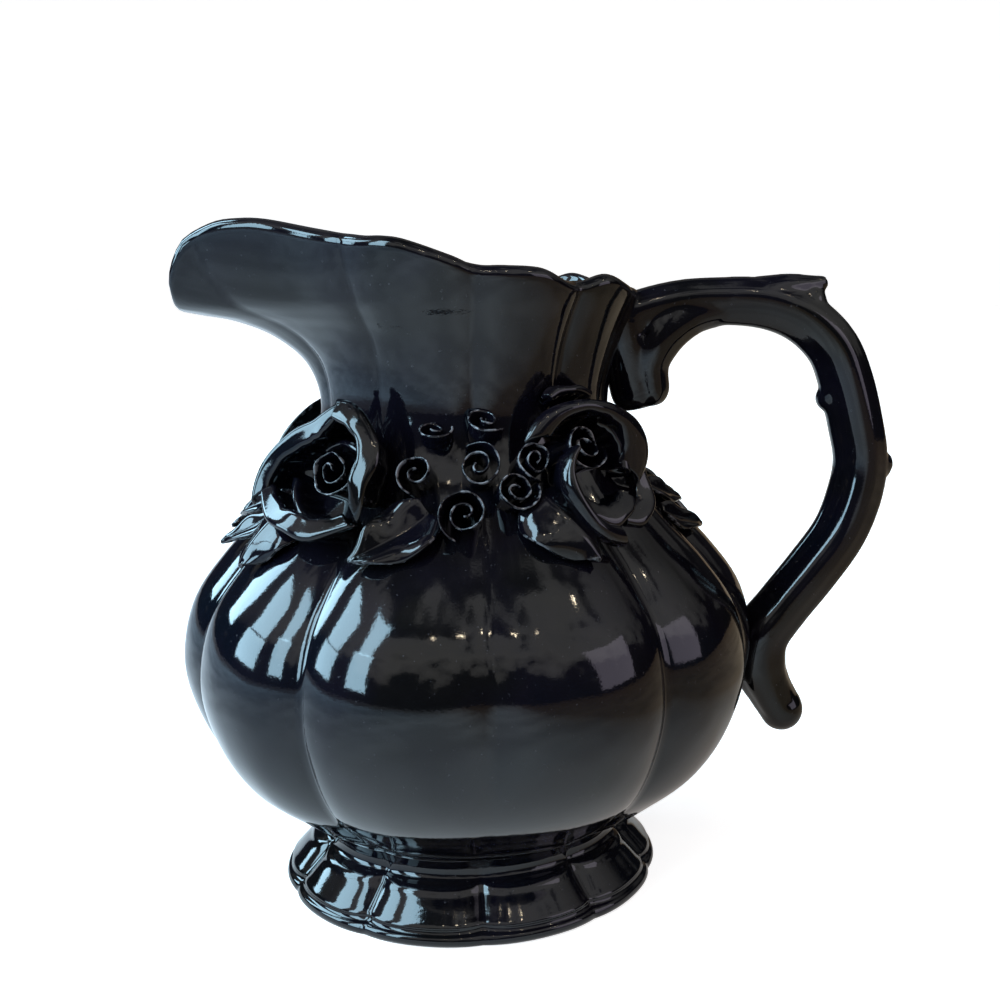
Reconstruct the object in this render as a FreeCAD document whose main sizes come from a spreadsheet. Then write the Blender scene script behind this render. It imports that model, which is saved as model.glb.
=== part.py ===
import FreeCAD, Part
import math
import os

import Sketcher
from FreeCAD import Placement, Rotation, Vector

# Glazed pitcher: a scalloped foot, a ten-lobed belly, a fluted neck that opens
# into a broad pouring spout, a branch handle and a garland of hand-rolled roses,
# scrolls and leaves luted round the shoulder, alike on the front and the back.
# Millimetres. +Z is up, +X is the handle side, -Y is the front.
# The origin is the middle of the foot, on the plane that the jug stands on.

doc = FreeCAD.newDocument("pitcher")
sheet = doc.addObject("Spreadsheet::Sheet", "Sizes")

# Driving dimensions: alias, value, what it is.
DIMENSIONS = [
    ("foot_radius", 59.5, "widest radius of the foot flange"),
    ("foot_waist_radius", 47.0, "narrowest radius of the foot, under the belly"),
    ("foot_height", 22.0, "standing plane to the seam with the belly"),
    ("foot_recess_radius", 51.0, "radius of the hollow under the foot, at its mouth"),
    ("foot_recess_top", 40.5, "radius of the same hollow at the belly's floor"),
    ("belly_radius", 88.0, "widest radius of the belly, on a lobe's crest"),
    ("belly_height", 118.0, "foot seam to neck seam"),
    ("seam_radius", 46.3, "radius of the seam between belly and neck"),
    ("neck_radius", 44.2, "narrowest radius of the neck"),
    ("rim_radius", 57.5, "radius of the rim at the handle side"),
    ("neck_rise", 65.3, "neck seam to the top of the spout"),
    ("spout_reach", 84.3, "axis to the tip of the pouring lip"),
    ("wall", 4.6, "thickness of the body's clay wall"),
    ("floor", 5.5, "thickness of the belly's floor"),
    ("overrun", 6.0, "how far a cutting shape runs past what it cuts"),
    ("handle_bow", 41.2, "belly's side to the middle of the handle's outer bow"),
    ("branch_radius", 9.8, "thickest radius of the handle's branch"),
    ("thorn_length", 16.0, "length of the thorn where the thumb rests"),
    ("thorn_radius", 6.0, "radius of the thorn at its root"),
    ("thorn_tip_radius", 2.2, "radius of the thorn's blunt tip"),
    ("knot_radius", 3.4, "radius of the knots on the branch"),
    ("rose_radius", 18.0, "radius of a rose's open mouth"),
    ("rose_depth", 12.0, "height of a rose's mouth over the shoulder"),
    ("petal_thickness", 1.9, "thickness of a petal at its root"),
    ("petal_lip", 1.2, "thickness of a petal at its lip"),
    ("bud_height", 11.0, "how far a rose's rolled bud stands out of the shoulder"),
    ("strip_thickness", 1.2, "thickness of the clay strip in a scroll"),
    ("strip_width", 9.0, "width of the clay strip in a scroll, as it stands out"),
    ("scroll_core", 1.3, "inner radius at the middle of a scroll"),
    ("scroll_pitch", 1.35, "how much a scroll's radius grows in half a turn"),
    ("root_depth", 5.0, "how deep a root reaches into the shoulder before it is cut"),
    ("leaf_length", 26.0, "length of a full leaf"),
    ("leaf_width", 17.0, "width of a full leaf"),
    ("leaf_thickness", 1.8, "thickness of a leaf at its midrib"),
    ("leaf_edge", 0.9, "thickness of a leaf at its edge"),
    ("leaf_fold", 3.2, "how deep a leaf is folded along its midrib"),
    ("leaf_lift", 5.0, "how far a leaf arches off the shoulder"),
]
for row, (alias, value, note) in enumerate(DIMENSIONS, 1):
    sheet.set(f"A{row}", note)
    sheet.set(f"B{row}", str(value))
    sheet.setAlias(f"B{row}", alias)
doc.recompute()


def size(alias):
    return float(getattr(sheet, alias))


LOBES = 10
LOBE_ANGLE = 360.0 / LOBES

# How much each crease bites into the radius, for the creases from the front
# centre (0) round to the handle. The back mirrors the front.
BELLY_CREASE_SHARES = {0: 0.35, 36: 1.0, 72: 1.0, 108: 1.0, 144: 1.0, 180: 0.35}
NECK_CREASE_SHARES = {
    "handle": {0: 0.25, 36: 1.0, 72: 1.0},
    "spout": {0: 0.25, 36: 0.35, 72: 0.6},
}

foot_top = size("foot_height")
neck_seam = foot_top + size("belly_height")
jug_top = neck_seam + size("neck_rise")
handle_reach = size("belly_radius") + size("handle_bow")


def polar(radius, angle, height):
    """A point at an angle measured from the front, towards the handle."""
    turn = math.radians(angle)
    return Vector(radius * math.sin(turn), -radius * math.cos(turn), height)


def lobed_wire(radius_at, height_at, crease_at, inward_at):
    """Ten arcs round the axis, from crease to crease over each lobe's crest.

    radius_at(angle) is the crest radius, height_at(x) the height over a point of
    the middle plane, crease_at(angle) the share of the radius that a crease cuts
    in, and inward_at(angle) how far the wire lies inside the outline.
    """

    def point(angle, share):
        radius = radius_at(angle)
        ahead = polar(radius_at(angle + 1), angle + 1, 0)
        behind = polar(radius_at(angle - 1), angle - 1, 0)
        along = (ahead - behind).normalize()
        inwards = Vector(-along.y, along.x, 0)
        spot = polar(radius, angle, 0) + inwards * (radius * share + inward_at(angle))
        return Vector(spot.x, spot.y, height_at(spot.x))

    arcs = []
    for lobe in range(LOBES):
        first = lobe * LOBE_ANGLE
        middle = first + LOBE_ANGLE / 2
        last = first + LOBE_ANGLE
        start = point(first, crease_at(first))
        end = point(last, crease_at(last))
        arcs.append(Part.Arc(start, point(middle, 0), end).toShape())
    return Part.Wire(arcs)


def folded(angle):
    """The same place on the front half: 0 at the front, 90 at a side, 180 behind."""
    around = angle % 360
    return min(around, 360 - around)


def belly_crease(depth):
    def crease_at(angle):
        return depth * BELLY_CREASE_SHARES[round(folded(angle))]

    return crease_at


def add_solid(name, wires):
    """A smooth loft through closed wires, as an object of the document."""
    feature = doc.addObject("Part::Feature", name)
    feature.Shape = Part.makeLoft(wires, True, False)
    return feature


def add_boolean(kind, name, base, tool):
    feature = doc.addObject(kind, name)
    feature.Base = base
    feature.Tool = tool
    return feature


def add_fuse(name, shapes):
    feature = doc.addObject("Part::MultiFuse", name)
    feature.Shapes = shapes
    return feature


sub_parts = []


def keep(feature, label):
    """Name a finished sub-part, which is written to its own file."""
    feature.Label = label
    sub_parts.append(feature)
    return feature


# Side profiles of the vessel on a lobe's crest

# Foot: share of its height, share of the way from waist to flange, crease depth.
FOOT_PROFILE_SHARES = (
    (0.00, 0.84, 0.015),
    (0.10, 1.00, 0.035),
    (0.25, 0.92, 0.060),
    (0.42, 0.66, 0.070),
    (0.60, 0.30, 0.065),
    (0.75, 0.02, 0.035),
    (0.88, 0.02, 0.025),
    (1.00, 0.12, 0.030),
)
# Belly: share of its height, share of its radius, crease depth.
BELLY_PROFILE_SHARES = (
    (0.000, 0.551, 0.030),
    (0.035, 0.632, 0.040),
    (0.085, 0.722, 0.045),
    (0.170, 0.853, 0.050),
    (0.290, 0.950, 0.055),
    (0.435, 1.000, 0.055),
    (0.590, 0.962, 0.055),
    (0.712, 0.850, 0.065),
    (0.814, 0.716, 0.070),
    (0.915, 0.589, 0.055),
)
# Neck: share of its rise and share of its flare at the sides, then share of its
# rise and of the spout's reach along the underside of the spout.
NECK_PROFILE_SHARES = (
    (0.116, 0.01, 0.184, -0.005),
    (0.231, 0.02, 0.357, 0.039),
    (0.348, 0.14, 0.479, 0.146),
    (0.462, 0.31, 0.551, 0.278),
    (0.579, 0.53, 0.590, 0.416),
    (0.694, 0.78, 0.634, 0.554),
    (0.810, 0.99, 0.735, 0.671),
    (0.925, 1.14, 0.884, 0.754),
    (1.041, 1.25, 1.041, 0.798),
)
NECK_CREASE = 0.070
SEAM_CREASE = 0.045
SPOUT_ANGLE = -90.0
SPOUT_SPREAD = 20.0


def foot_profile():
    waist = size("foot_waist_radius")
    flare = size("foot_radius") - waist
    return [(waist + flare * out, foot_top * up, cut) for up, out, cut in FOOT_PROFILE_SHARES]


def belly_profile():
    points = []
    for up, out, cut in BELLY_PROFILE_SHARES:
        points.append((size("belly_radius") * out, foot_top + size("belly_height") * up, cut))
    points.append((size("seam_radius"), neck_seam, SEAM_CREASE))
    return points


def inset(profile, depth):
    """Move a side profile inwards, square to itself. The ends keep their height."""
    moved = []
    for index, (radius, height) in enumerate(profile):
        before = profile[max(index - 1, 0)]
        after = profile[min(index + 1, len(profile) - 1)]
        run = Vector(after[0] - before[0], after[1] - before[1], 0).normalize()
        new_radius = radius - depth * run.y
        new_height = height + depth * run.x
        moved.append((new_radius, new_height))
    return moved


def ring(radius, height, crease):
    return lobed_wire(
        lambda angle: radius,
        lambda x: height,
        belly_crease(crease),
        lambda angle: 0,
    )


# Foot ring: a flared scalloped flange under a waist, hollow below

foot_outside = add_solid("FootOutside", [ring(*level) for level in foot_profile()])
foot_recess = doc.addObject("Part::Cone", "FootRecess")
foot_recess.setExpression("Radius1", "Sizes.foot_recess_radius")
foot_recess.setExpression("Radius2", "Sizes.foot_recess_top")
foot_recess.setExpression("Height", "Sizes.foot_height")
foot_ring = keep(add_boolean("Part::Cut", "FootRing", foot_outside, foot_recess), "foot_ring")

# Belly: ten round lobes between sharp creases, an even wall and a closed floor

belly_outline = belly_profile()
belly_outside = add_solid("BellyOutside", [ring(*level) for level in belly_outline])

belly_inner = inset([(radius, height) for radius, height, cut in belly_outline], size("wall"))
belly_inner = belly_inner[2:-1]
cavity_floor = foot_top + size("floor")
floor_share = 0.80
cavity_levels = [(belly_inner[0][0] * floor_share, cavity_floor, 0)]
for (radius, height), (_, _, cut) in zip(belly_inner, belly_outline[2:-1]):
    cavity_levels.append((radius, height, cut))
cavity_levels.append((size("seam_radius") - size("wall"), neck_seam, SEAM_CREASE))
belly_cavity = add_solid("BellyCavity", [ring(*level) for level in cavity_levels])
belly = keep(add_boolean("Part::Cut", "Belly", belly_outside, belly_cavity), "belly")

# Neck and spout: the fluted collar flares and is thrown out to one side


def neck_crease(angle):
    around = folded(angle)
    side = "handle" if math.sin(math.radians(angle)) >= 0 else "spout"
    toward_middle = min(around, 180 - around)
    return NECK_CREASE_SHARES[side][round(toward_middle)] * NECK_CREASE


def spout_bump(angle):
    """One on the spout's axis, falling away to nothing at the sides."""
    off = (angle - SPOUT_ANGLE + 180) % 360 - 180
    return math.exp(-((off / SPOUT_SPREAD) ** 2))


def neck_outlines():
    """Side outlines from the seam upwards: round the flare, and under the spout."""
    radius = size("neck_radius")
    flare = size("rim_radius") - radius
    sides = [(size("seam_radius"), neck_seam)]
    tips = [(size("seam_radius"), neck_seam)]
    for side_up, out, tip_up, throw in NECK_PROFILE_SHARES:
        sides.append((radius + flare * out, neck_seam + size("neck_rise") * side_up))
        reach = radius + size("spout_reach") * throw
        tips.append((reach, neck_seam + size("neck_rise") * tip_up))
    return sides, tips


def neck_wires(inward):
    wires = []
    sides, tips = neck_outlines()
    rows = zip(sides, tips, inset(sides, inward), inset(tips, inward))
    for (radius, _), (tip, _), (side_radius, side_height), (tip_radius, tip_height) in rows:
        at_seam = not wires
        if at_seam:
            tip_height = side_height = neck_seam
        slope = (side_height - tip_height) / (side_radius + tip_radius)
        wires.append(
            lobed_wire(
                lambda angle: radius + (tip - radius) * spout_bump(angle),
                lambda x: tip_height + slope * (x + tip_radius),
                belly_crease(SEAM_CREASE) if at_seam else neck_crease,
                lambda angle: tip - tip_radius if spout_bump(angle) == 1 else radius - side_radius,
            )
        )
    return wires


neck_outside = add_solid("NeckOutside", neck_wires(0))
neck_inside = add_solid("NeckInside", neck_wires(size("wall")))
neck_tube = add_boolean("Part::Cut", "NeckTube", neck_outside, neck_inside)

# Rim line seen from the side, from under the lip round to the handle:
# share of the spout's reach, or of the rim's radius, and share of the neck's rise.
SPOUT_RIM_SHARES = (
    (-1.000, 0.600),
    (-1.000, 0.741),
    (-0.979, 0.824),
    (-0.931, 0.923),
    (-0.837, 0.985),
    (-0.753, 1.000),
    (-0.664, 0.995),
    (-0.515, 0.954),
    (-0.367, 0.922),
    (-0.292, 0.919),
    (-0.218, 0.904),
    (-0.068, 0.839),
)
HANDLE_RIM_SHARES = (
    (0.020, 0.798),
    (0.157, 0.795),
    (0.348, 0.783),
    (0.513, 0.727),
    (0.700, 0.757),
    (0.852, 0.709),
    (1.000, 0.681),
    (1.150, 0.681),
)


def rim_points():
    rise = size("neck_rise")
    points = [(size("spout_reach") * out, neck_seam + rise * up) for out, up in SPOUT_RIM_SHARES]
    points += [(size("rim_radius") * out, neck_seam + rise * up) for out, up in HANDLE_RIM_SHARES]
    return [Vector(x, 0, z) for x, z in points]


def rim_trim_face():
    """Everything above the rim line and beyond the lip, in the middle plane."""
    line = rim_points()
    curve = Part.BSplineCurve()
    curve.interpolate(line)
    beyond = -2 * size("spout_reach")
    above = jug_top + 2 * size("overrun")
    low_left = Vector(beyond, 0, line[0].z)
    top_left = Vector(beyond, 0, above)
    top_right = Vector(line[-1].x, 0, above)
    edges = [
        curve.toShape(),
        Part.LineSegment(line[-1], top_right).toShape(),
        Part.LineSegment(top_right, top_left).toShape(),
        Part.LineSegment(top_left, low_left).toShape(),
        Part.LineSegment(low_left, line[0]).toShape(),
    ]
    return Part.Face(Part.Wire(edges))


rim_outline = doc.addObject("Part::Feature", "RimOutline")
rim_outline.Shape = rim_trim_face()
rim_trim = doc.addObject("Part::Extrusion", "RimTrim")
rim_trim.Base = rim_outline
rim_trim.DirMode = "Custom"
rim_trim.Dir = Vector(0, 1, 0)
rim_trim.Symmetric = True
rim_trim.Solid = True
rim_trim.setExpression("LengthFwd", "4 * Sizes.rim_radius")
neck_spout = keep(add_boolean("Part::Cut", "NeckSpout", neck_tube, rim_trim), "neck_spout")

# The vessel's outside without its hollows: every applied piece is cut to it,
# so that it seats on the clay wall.

core = add_fuse("VesselCore", [belly_outside, neck_outside])


def seat_on_vessel(feature, label):
    cut = add_boolean("Part::Cut", feature.Name + "Seated", feature, core)
    return keep(cut, label)


def mirrored(feature, label):
    """The same piece on the back of the jug."""
    back = doc.addObject("Part::Mirroring", feature.Name + "Back")
    back.Source = feature
    back.Normal = Vector(0, 1, 0)
    return keep(back, label)


# Handle: one branch from the rim over the hand and down to the belly

# Share of the way out from the rim to the handle's bow, share of the neck's rise,
# share of the branch's thickness.
UPPER_BRANCH_SHARES = (
    (-0.170, 0.505, 0.80),
    (-0.007, 0.582, 0.78),
    (0.146, 0.622, 0.76),
    (0.314, 0.634, 0.76),
    (0.481, 0.628, 0.80),
    (0.621, 0.590, 0.83),
    (0.739, 0.515, 0.85),
    (0.838, 0.398, 0.87),
    (0.911, 0.237, 0.92),
    (0.964, 0.043, 0.98),
)
# The same from the belly outwards, and share of the belly's height.
LOWER_BRANCH_SHARES = (
    (0.995, 0.919, 1.01),
    (0.947, 0.818, 0.99),
    (0.813, 0.712, 0.93),
    (0.590, 0.606, 0.92),
    (0.352, 0.504, 0.92),
    (0.189, 0.424, 0.96),
    (0.184, 0.339, 0.91),
    (0.267, 0.271, 0.78),
    (0.371, 0.210, 0.73),
)
# The scroll that curls back down the neck from the branch's root.
CURL_SHARES = (
    (0.120, 0.600, 0.62),
    (0.000, 0.498, 0.76),
    (-0.028, 0.368, 0.80),
    (-0.014, 0.230, 0.68),
)
# Places of the small growths: shares as above.
THORN_ROOT_SHARES = (0.607, 0.628)
THORN_TURN = 57.0
OUTER_KNOT_SHARES = (0.962, 0.903)
INNER_KNOT_SHARES = (0.810, 0.156)


def upper_place(out, up):
    span = handle_reach - size("rim_radius")
    return Vector(size("rim_radius") + span * out, 0, neck_seam + size("neck_rise") * up)


def lower_place(out, up):
    reach = size("belly_radius") + size("handle_bow") * out
    return Vector(reach, 0, foot_top + size("belly_height") * up)


def round_wire(centre, along, radius):
    """A circle square to the branch, as two half circles."""
    across = Vector(0, 1, 0)
    upward = across.cross(along).normalize()
    halves = []
    for side in (1, -1):
        start = centre + across * (radius * side)
        top = centre + upward * (radius * side)
        end = centre - across * (radius * side)
        halves.append(Part.Arc(start, top, end).toShape())
    return Part.Wire(halves)


def branch(name, stations):
    """A smooth round branch through rows of a place and a radius."""
    wires = []
    for index, (place, radius) in enumerate(stations):
        before = stations[max(index - 1, 0)][0]
        after = stations[min(index + 1, len(stations) - 1)][0]
        wires.append(round_wire(place, after - before, radius))
    return add_solid(name, wires)


def ball(name, place, radius_rule):
    feature = doc.addObject("Part::Sphere", name)
    feature.setExpression("Radius", radius_rule)
    feature.Placement.Base = place
    return feature


thickness = size("branch_radius")
bow = [(upper_place(out, up), thickness * share) for out, up, share in UPPER_BRANCH_SHARES]
bow += [(lower_place(out, up), thickness * share) for out, up, share in LOWER_BRANCH_SHARES]
curl = [(upper_place(out, up), thickness * share) for out, up, share in CURL_SHARES]
tail_share = LOWER_BRANCH_SHARES[-1][2]
curl_share = CURL_SHARES[-1][2]

thorn = doc.addObject("Part::Cone", "Thorn")
thorn.setExpression("Radius1", "Sizes.thorn_radius")
thorn.setExpression("Radius2", "Sizes.thorn_tip_radius")
thorn.setExpression("Height", "Sizes.thorn_length")
thorn_turn = Rotation(Vector(0, 1, 0), THORN_TURN)
thorn_root = upper_place(*THORN_ROOT_SHARES)
thorn.Placement = Placement(thorn_root, thorn_turn)
thorn_tip = thorn_root + thorn_turn.multVec(Vector(0, 0, size("thorn_length")))

handle_clay = add_fuse(
    "HandleClay",
    [
        branch("Bow", bow),
        branch("Curl", curl),
        ball("TailEnd", bow[-1][0], f"Sizes.branch_radius * {tail_share}"),
        ball("CurlEnd", curl[-1][0], f"Sizes.branch_radius * {curl_share}"),
        thorn,
        ball("ThornTip", thorn_tip, "Sizes.thorn_tip_radius"),
        ball("OuterKnot", lower_place(*OUTER_KNOT_SHARES), "Sizes.knot_radius"),
        ball("InnerKnot", upper_place(*INNER_KNOT_SHARES), "Sizes.knot_radius"),
    ],
)
seat_on_vessel(handle_clay, "handle")

# Places on the shoulder for the garland


def shoulder_radius(height):
    """Radius of the belly's crest outline, or of the neck above its seam."""
    outline = [(radius, level) for radius, level, _ in belly_outline]
    outline += neck_outlines()[0][1:]
    for (low_radius, low), (high_radius, high) in zip(outline, outline[1:]):
        if low <= height <= high:
            return low_radius + (high_radius - low_radius) * (height - low) / (high - low)
    return outline[-1][0]


def shoulder_spot(around, drop):
    """Angle and height of a place on the shoulder.

    It lies around from the front and down from the neck's seam, both as shares of
    a rose's radius.
    """
    height = neck_seam - size("rose_radius") * drop
    return math.degrees(size("rose_radius") * around / shoulder_radius(height)), height


def shoulder_tilt(height):
    """How far the shoulder faces up there, over the breadth of a rose."""
    reach = size("rose_radius")
    fall = shoulder_radius(height - reach) - shoulder_radius(height + reach)
    return math.degrees(math.atan(fall / (2 * reach)))


def outward(angle, tilt):
    """A direction that points out from the axis and rises by a tilt."""
    rise = math.radians(tilt)
    return polar(math.cos(rise), angle, math.sin(rise))


# A strip of clay rolled up: half circles that grow by one pitch each


def rolled_strip(name, scale_share, half_turns, length_rule):
    body = doc.addObject("PartDesign::Body", name)
    sketch = body.newObject("Sketcher::SketchObject", name + "Sketch")
    plane = next(item for item in body.Origin.OriginFeatures if item.Role == "XY_Plane")
    sketch.AttachmentSupport = (plane, "")
    sketch.MapMode = "FlatFace"
    core_radius = size("scroll_core") * scale_share
    pitch = size("scroll_pitch") * scale_share
    thick = size("strip_thickness")
    up = Vector(0, 0, 1)
    last_arcs = []
    for side, extra in enumerate((0.0, thick)):
        previous = None
        for turn in range(half_turns):
            centre = Vector(pitch * (turn % 2), 0, 0)
            radius = core_radius + pitch * turn + extra
            from_angle = math.pi * (turn % 2)
            circle = Part.Circle(centre, up, radius)
            arc = sketch.addGeometry(Part.ArcOfCircle(circle, from_angle, from_angle + math.pi))
            if turn % 2 == 0:
                sketch.addConstraint(Sketcher.Constraint("Coincident", arc, 3, -1, 1))
            else:
                sketch.addConstraint(Sketcher.Constraint("PointOnObject", arc, 3, -1))
                across = sketch.addConstraint(Sketcher.Constraint("DistanceX", -1, 1, arc, 3, pitch))
                sketch.setExpression(f"Constraints[{across}]", f"Sizes.scroll_pitch * {scale_share}")
            sketch.addConstraint(Sketcher.Constraint("PointOnObject", arc, 2, -1))
            if previous is None:
                sketch.addConstraint(Sketcher.Constraint("PointOnObject", arc, 1, -1))
                round_rule = f"Sizes.scroll_core * {scale_share}"
                if side:
                    round_rule += " + Sizes.strip_thickness"
                rule = sketch.addConstraint(Sketcher.Constraint("Radius", arc, radius))
                sketch.setExpression(f"Constraints[{rule}]", round_rule)
                first_arc = arc
            else:
                sketch.addConstraint(Sketcher.Constraint("Coincident", arc, 1, previous, 2))
            previous = arc
        last_arcs.append((first_arc, previous))
    (inner_first, inner_last), (outer_first, outer_last) = last_arcs
    for inner, outer, end in ((inner_first, outer_first, 1), (inner_last, outer_last, 2)):
        near = sketch.getPoint(inner, end)
        far = sketch.getPoint(outer, end)
        cap = sketch.addGeometry(Part.LineSegment(near, far))
        sketch.addConstraint(Sketcher.Constraint("Coincident", cap, 1, inner, end))
        sketch.addConstraint(Sketcher.Constraint("Coincident", cap, 2, outer, end))
    pad = body.newObject("PartDesign::Pad", name + "Pad")
    pad.Profile = sketch
    pad.setExpression("Length", length_rule)
    return body


def stand(feature, place, direction, spin):
    """Turn a feature's own +Z to a direction, spun about it, with its origin at a place."""
    aim = Rotation(Vector(0, 0, 1), direction)
    feature.Placement = Placement(place, aim.multiply(Rotation(Vector(0, 0, 1), spin)))


# Seven scrolls in the middle: name, shares around and down, tilt, share of full
# size, half turns, spin, share of the strip's width.
SCROLL_SHARES = (
    ("scroll_one", -0.524, -0.262, 62.0, 0.80, 3, 200.0, 0.55),
    ("scroll_two", 0.194, -0.380, 62.0, 0.95, 3, 150.0, 0.55),
    ("scroll_three", -0.798, 0.361, 25.0, 0.90, 3, 60.0, 1.0),
    ("scroll_four", 0.057, 0.249, 24.0, 0.82, 4, 120.0, 1.0),
    ("scroll_five", -0.163, 0.806, 22.0, 0.90, 4, 250.0, 1.0),
    ("scroll_six", 0.516, 0.577, 24.0, 0.78, 4, 30.0, 1.0),
    ("scroll_seven", 0.807, 0.184, 30.0, 0.70, 4, 300.0, 1.0),
)


# How far out a leaning scroll stands, as a share of its own radius.
LEAN_SHARE = 0.42


def add_scroll(label, around, drop, tilt, scale_share, half_turns, spin, width_share):
    """A scroll rooted in the shoulder, or a short one that leans on the neck."""
    name = label.title().replace("_", "")
    leans = width_share < 1
    root_share = 0.0 if leans else 1.0
    length = f"Sizes.strip_width * {width_share} + Sizes.root_depth * {root_share}"
    strip = rolled_strip(name, scale_share, half_turns, length)
    angle, height = shoulder_spot(around, drop)
    direction = outward(angle, tilt)
    girth = size("scroll_core") + size("scroll_pitch") * half_turns
    reach = girth * scale_share * LEAN_SHARE if leans else 0.0
    surface = polar(shoulder_radius(height) + reach, angle, height)
    stand(strip, surface - direction * (size("root_depth") * root_share), direction, spin)
    seated = seat_on_vessel(strip, "front_" + label)
    mirrored(seated, "back_" + label)


for scroll in SCROLL_SHARES:
    add_scroll(*scroll)

# Roses: a rolled bud inside rings of petals that flare from their roots to their lips

# Petal outline from root to lip: share of its height, share of its half width,
# share of the way from root radius to lip radius, share of the way to lip thickness.
PETAL_OUTLINE_SHARES = (
    (0.00, 0.80, 0.00, 0.0),
    (0.40, 0.95, 0.20, 0.3),
    (0.75, 1.00, 0.58, 0.7),
    (1.00, 0.84, 1.00, 1.0),
)
# Petals: name, turn round the rose from its right, half width in degrees, then
# shares: root and lip of the rose's radius, lip of its depth.
LEFT_PETAL_SHARES = (
    ("low_inner_petal", 232.0, 72.0, 0.40, 0.68, 0.80),
    ("high_inner_petal", 62.0, 72.0, 0.40, 0.62, 0.95),
    ("left_petal", 147.0, 56.0, 0.62, 1.12, 0.95),
    ("top_petal", 39.0, 50.0, 0.62, 1.02, 1.00),
    ("bottom_petal", 266.0, 61.0, 0.62, 1.04, 0.95),
)
RIGHT_PETAL_SHARES = (
    ("hood_petal", 66.0, 88.0, 0.40, 0.76, 1.10),
    ("fold_petal", 248.0, 60.0, 0.40, 0.78, 1.10),
    ("right_petal", 16.0, 38.0, 0.66, 1.30, 0.85),
    ("lower_petal", -49.0, 25.0, 0.66, 1.30, 0.80),
    ("bottom_petal", -102.0, 26.0, 0.66, 1.10, 0.80),
    ("back_petal", 78.0, 22.0, 0.70, 1.08, 0.80),
)
# Roses: name, shares around and down, lean back from square to the shoulder, petals.
ROSE_SHARES = (
    ("left_rose", -2.093, 0.393, -7.0, LEFT_PETAL_SHARES),
    ("right_rose", 1.559, 0.098, -2.3, RIGHT_PETAL_SHARES),
)
BUD_SHARE = 0.68
BUD_HALF_TURNS = 4


def facing(angle, tilt):
    """Turn +Z outwards and +X to the right, as seen by someone facing the piece."""
    out = outward(angle, tilt)
    right = polar(1, angle + 90, 0)
    return Rotation(right, out.cross(right), out, "ZXY")


def petal_wire(middle, turn, half_width, thick):
    """A thin bent band square to the rose's axis: two arcs joined by two edges."""
    radius = middle.x
    ends = []
    arcs = []
    for side, edge_radius in ((1, radius + thick / 2), (-1, radius - thick / 2)):
        start, top, end = [
            Vector(
                edge_radius * math.cos(math.radians(turn + step * half_width)),
                edge_radius * math.sin(math.radians(turn + step * half_width)),
                middle.z,
            )
            for step in (-side, 0, side)
        ]
        arcs.append(Part.Arc(start, top, end).toShape())
        ends.append((start, end))
    (outer_start, outer_end), (inner_start, inner_end) = ends
    far_edge = Part.LineSegment(outer_end, inner_start).toShape()
    near_edge = Part.LineSegment(inner_end, outer_start).toShape()
    return Part.Wire([arcs[0], far_edge, arcs[1], near_edge])


def add_petal(name, placement, turn, half_width, root_share, lip_share, rise_share):
    root = size("rose_radius") * root_share
    lip = size("rose_radius") * lip_share
    low = -size("root_depth")
    high = size("rose_depth") * rise_share
    thin = size("petal_thickness") - size("petal_lip")
    wires = []
    for up, wide, out, thinning in PETAL_OUTLINE_SHARES:
        middle = Vector(root + (lip - root) * out, 0, low + (high - low) * up)
        thick = size("petal_thickness") - thin * thinning
        wires.append(petal_wire(middle, turn, half_width * wide, thick))
    petal = add_solid(name, wires)
    petal.Placement = placement
    return petal


def add_rose(label, around, drop, lean, petals):
    name = label.title().replace("_", "")
    angle, height = shoulder_spot(around, drop)
    middle = polar(shoulder_radius(height), angle, height)
    seat = Placement(middle, facing(angle, shoulder_tilt(height) + lean))
    bud_length = "Sizes.bud_height + Sizes.root_depth"
    bud = rolled_strip(name + "Bud", BUD_SHARE, BUD_HALF_TURNS, bud_length)
    sunk = Placement(Vector(0, 0, -size("root_depth")), Rotation())
    bud.Placement = seat.multiply(sunk)
    pieces = [("bud", bud)]
    for petal_label, *shares in petals:
        petal_name = name + petal_label.title().replace("_", "")
        pieces.append((petal_label, add_petal(petal_name, seat, *shares)))
    for piece_label, piece in pieces:
        seated = seat_on_vessel(piece, f"front_{label}_{piece_label}")
        mirrored(seated, f"back_{label}_{piece_label}")


for rose in ROSE_SHARES:
    add_rose(*rose)

# Leaves: folded blades that arch over the shoulder

# Blade from stalk to tip: share of the leaf's length, share of its width.
BLADE_SHARES = ((0.00, 0.34), (0.22, 0.82), (0.48, 1.00), (0.76, 0.66), (1.00, 0.08))
# Leaves: name, shares around and down at the stalk, heading from straight down,
# then shares: length, width, lift at stalk, middle and tip, and fold, less than
# nothing where the midrib stands up.
LEAF_SHARES = (
    ("left_upper_leaf", -3.994, 0.656, -37.0, 0.68, 0.56, (0.40, 1.10, 1.00), 0.5),
    ("left_side_leaf", -4.140, 1.049, -40.0, 0.70, 0.56, (0.20, 0.90, 0.80), 0.5),
    ("left_lower_leaf", -3.293, 1.016, -14.0, 0.80, 1.05, (0.20, 0.60, 0.40), -0.8),
    ("centre_left_leaf", -0.830, 0.865, -42.0, 1.00, 0.95, (0.60, 1.60, 0.60), 0.7),
    ("centre_right_leaf", 1.043, 0.754, 15.0, 0.92, 1.15, (0.50, 1.20, 0.90), -0.8),
    ("right_upper_leaf", 3.878, 0.688, 50.0, 0.68, 0.56, (0.40, 1.10, 1.00), 0.5),
    ("right_lower_leaf", 4.038, 1.114, 58.0, 0.74, 0.56, (0.20, 0.90, 0.90), 0.5),
)
LEAF_TILT = 40.0
LEAF_TIP_SHARE = 0.35
WALK_STEPS = 10


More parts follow.
